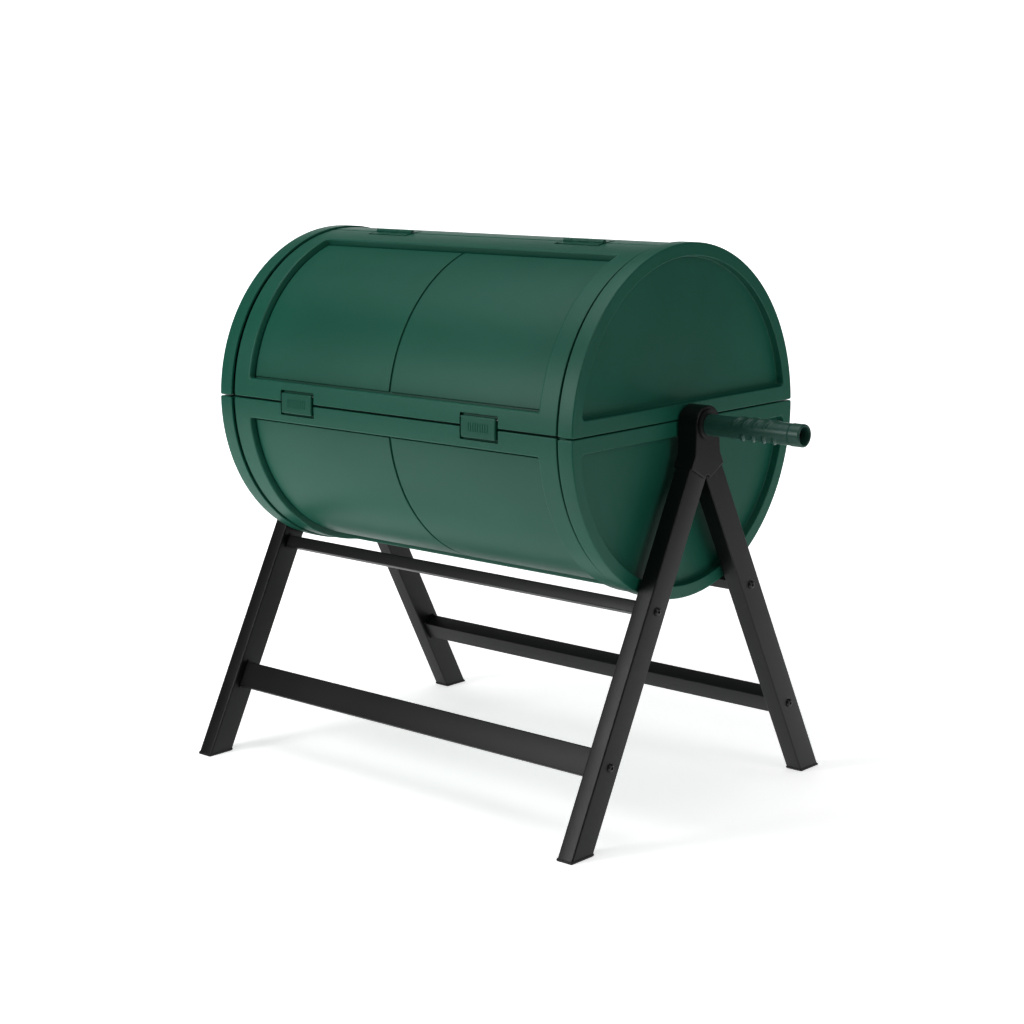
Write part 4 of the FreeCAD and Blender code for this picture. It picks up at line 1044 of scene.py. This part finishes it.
INNER_BLACK = moulded_plastic("black_inner", (0.012, 0.012, 0.012), (0.022, 0.021, 0.02), 0.6,
                              grain_size=0.0016, grain_depth=0.00014)
KEPT = {
    plated_steel("bare_steel", (0.46, 0.46, 0.45), 0.34): [
        "latch_pins", "hinge_pins", "grip_pin", "head_screws", "hub_screws", "latch_strikes"],
    # The axle's steel is given a dark colour so that the grip's open end reads dark inside: painted shade.
    plated_steel("axle_steel_darkened_for_shade", (0.10, 0.10, 0.105), 0.38): ["axle"],
    seal_rubber("seal_rubber"): ["door_seal"],
    INNER_BLACK: ["divider", "door_jamb", "hub_left", "hub_right", "mixing_bar_lower",
                  "mixing_bar_upper", "seam_strip_back", "seam_strip_bottom"],
    PLASTIC_BLACK: ["axle_cap", "bush_left", "bush_right"],
}
for material, nodes in KEPT.items():
    for node in nodes:
        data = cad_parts[node].data
        data.materials.clear()
        data.materials.append(material)


# ---------------------------------------- studio, light and camera
# A white paper sweep with a glow of its own curves up behind the object, in a white room that
# lights it dimly.  A softbox overhead, one at the left front and a strip on the right give the sheen.

CAMERA_PLACE = Vector((2.4316, -2.6691, 1.1338))
CAMERA_YAW = math.radians(42.077)
CAMERA_PITCH = math.radians(-10.905)
CAMERA_ROLL = math.radians(-0.456)
CAMERA_LENS = 75.87
SWEEP_SIDE = 3.0
SWEEP_FRONT = 1.3
SWEEP_BACK = 3.2
SWEEP_CURVE = 1.6
SWEEP_TOP = 2.6
GLOW_REACH = 1.7
GLOW_FADE = 1.1
GLOW_NEAR = (0.62, 0.62, 0.62)
GLOW_FAR = (0.98, 0.98, 0.98)
ROOM_LIGHT = 0.14
ROOM_SEEN = 0.98
DARK_TONES = 0.86

lens = bpy.data.cameras.new("camera")
lens.lens, lens.sensor_width = CAMERA_LENS, 36.0
camera = bpy.data.objects.new("camera", lens)
camera.location = CAMERA_PLACE
camera.rotation_euler = (Matrix.Rotation(CAMERA_YAW, 3, "Z")
                         @ Matrix.Rotation(math.pi / 2 + CAMERA_PITCH, 3, "X")
                         @ Matrix.Rotation(CAMERA_ROLL, 3, "Z")).to_euler()
bpy.context.scene.collection.objects.link(camera)
bpy.context.scene.camera = camera

profile = [(-SWEEP_FRONT, 0.0), (SWEEP_BACK, 0.0)]
profile += [(SWEEP_BACK + SWEEP_CURVE * math.sin(a), SWEEP_CURVE * (1 - math.cos(a)))
            for a in np.linspace(0, math.pi / 2, 17)[1:]]
profile.append((SWEEP_BACK + SWEEP_CURVE, SWEEP_TOP))
ahead = Vector((-math.sin(CAMERA_YAW), math.cos(CAMERA_YAW), 0))
aside = Vector((math.cos(CAMERA_YAW), math.sin(CAMERA_YAW), 0))
points = [ahead * d + aside * side + Vector((0, 0, z))
          for d, z in profile for side in (-SWEEP_SIDE, SWEEP_SIDE)]
faces = [(2 * i, 2 * i + 1, 2 * i + 3, 2 * i + 2) for i in range(len(profile) - 1)]
sweep_mesh = bpy.data.meshes.new("paper_sweep")
sweep_mesh.from_pydata(points, [], faces)
sweep_mesh.shade_smooth()
sweep = bpy.data.objects.new("paper_sweep", sweep_mesh)
bpy.context.scene.collection.objects.link(sweep)
paper = Finish("studio_paper")
reach = paper.node("ShaderNodeVectorMath", {"operation": "LENGTH"}, {0: paper.place}, output="Value")
glow = paper.between(reach.above(GLOW_REACH, GLOW_FADE), GLOW_NEAR, GLOW_FAR)
paper.set(Base_Color=(0.9, 0.9, 0.9), Roughness=1.0, Emission_Color=glow, Emission_Strength=1.0)
sweep_mesh.materials.append(paper.material)
sweep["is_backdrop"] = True

world = bpy.data.worlds.new("studio")
bpy.context.scene.world = world
world.use_nodes = True
room = world.node_tree
seen, level = room.nodes.new("ShaderNodeLightPath"), room.nodes.new("ShaderNodeMapRange")
level.inputs["To Min"].default_value, level.inputs["To Max"].default_value = ROOM_LIGHT, ROOM_SEEN
background = room.nodes["Background"]
background.inputs["Color"].default_value = (1, 1, 1, 1)
room.links.new(seen.outputs["Is Camera Ray"], level.inputs["Value"])
room.links.new(level.outputs["Result"], background.inputs["Strength"])
bpy.context.scene.view_settings.view_transform = "Standard"
bpy.context.scene.view_settings.gamma = DARK_TONES

# Each light's place, target, width, height and power.
LIGHTS = {
    "overhead": ((-0.3, -0.5, 3.0), (0, 0, 0.6), 2.4, 2.4, 34.0),
    "left_box": ((-1.05, -2.5, 1.45), (0.2, 0, 0.7), 0.8, 1.0, 24.0),
    "right_strip": ((3.0, -0.2, 1.7), (0.2, 0, 0.65), 0.8, 1.6, 16.0),
}
for name, (place, target, wide, tall, power) in LIGHTS.items():
    lamp = bpy.data.lights.new(name, "AREA")
    lamp.shape, lamp.size, lamp.size_y, lamp.energy = "RECTANGLE", wide, tall, power
    light = bpy.data.objects.new(name, lamp)
    light.location = place
    light.rotation_euler = (Vector(target) - Vector(place)).to_track_quat("-Z", "Y").to_euler()
    bpy.context.scene.collection.objects.link(light)

low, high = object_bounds()
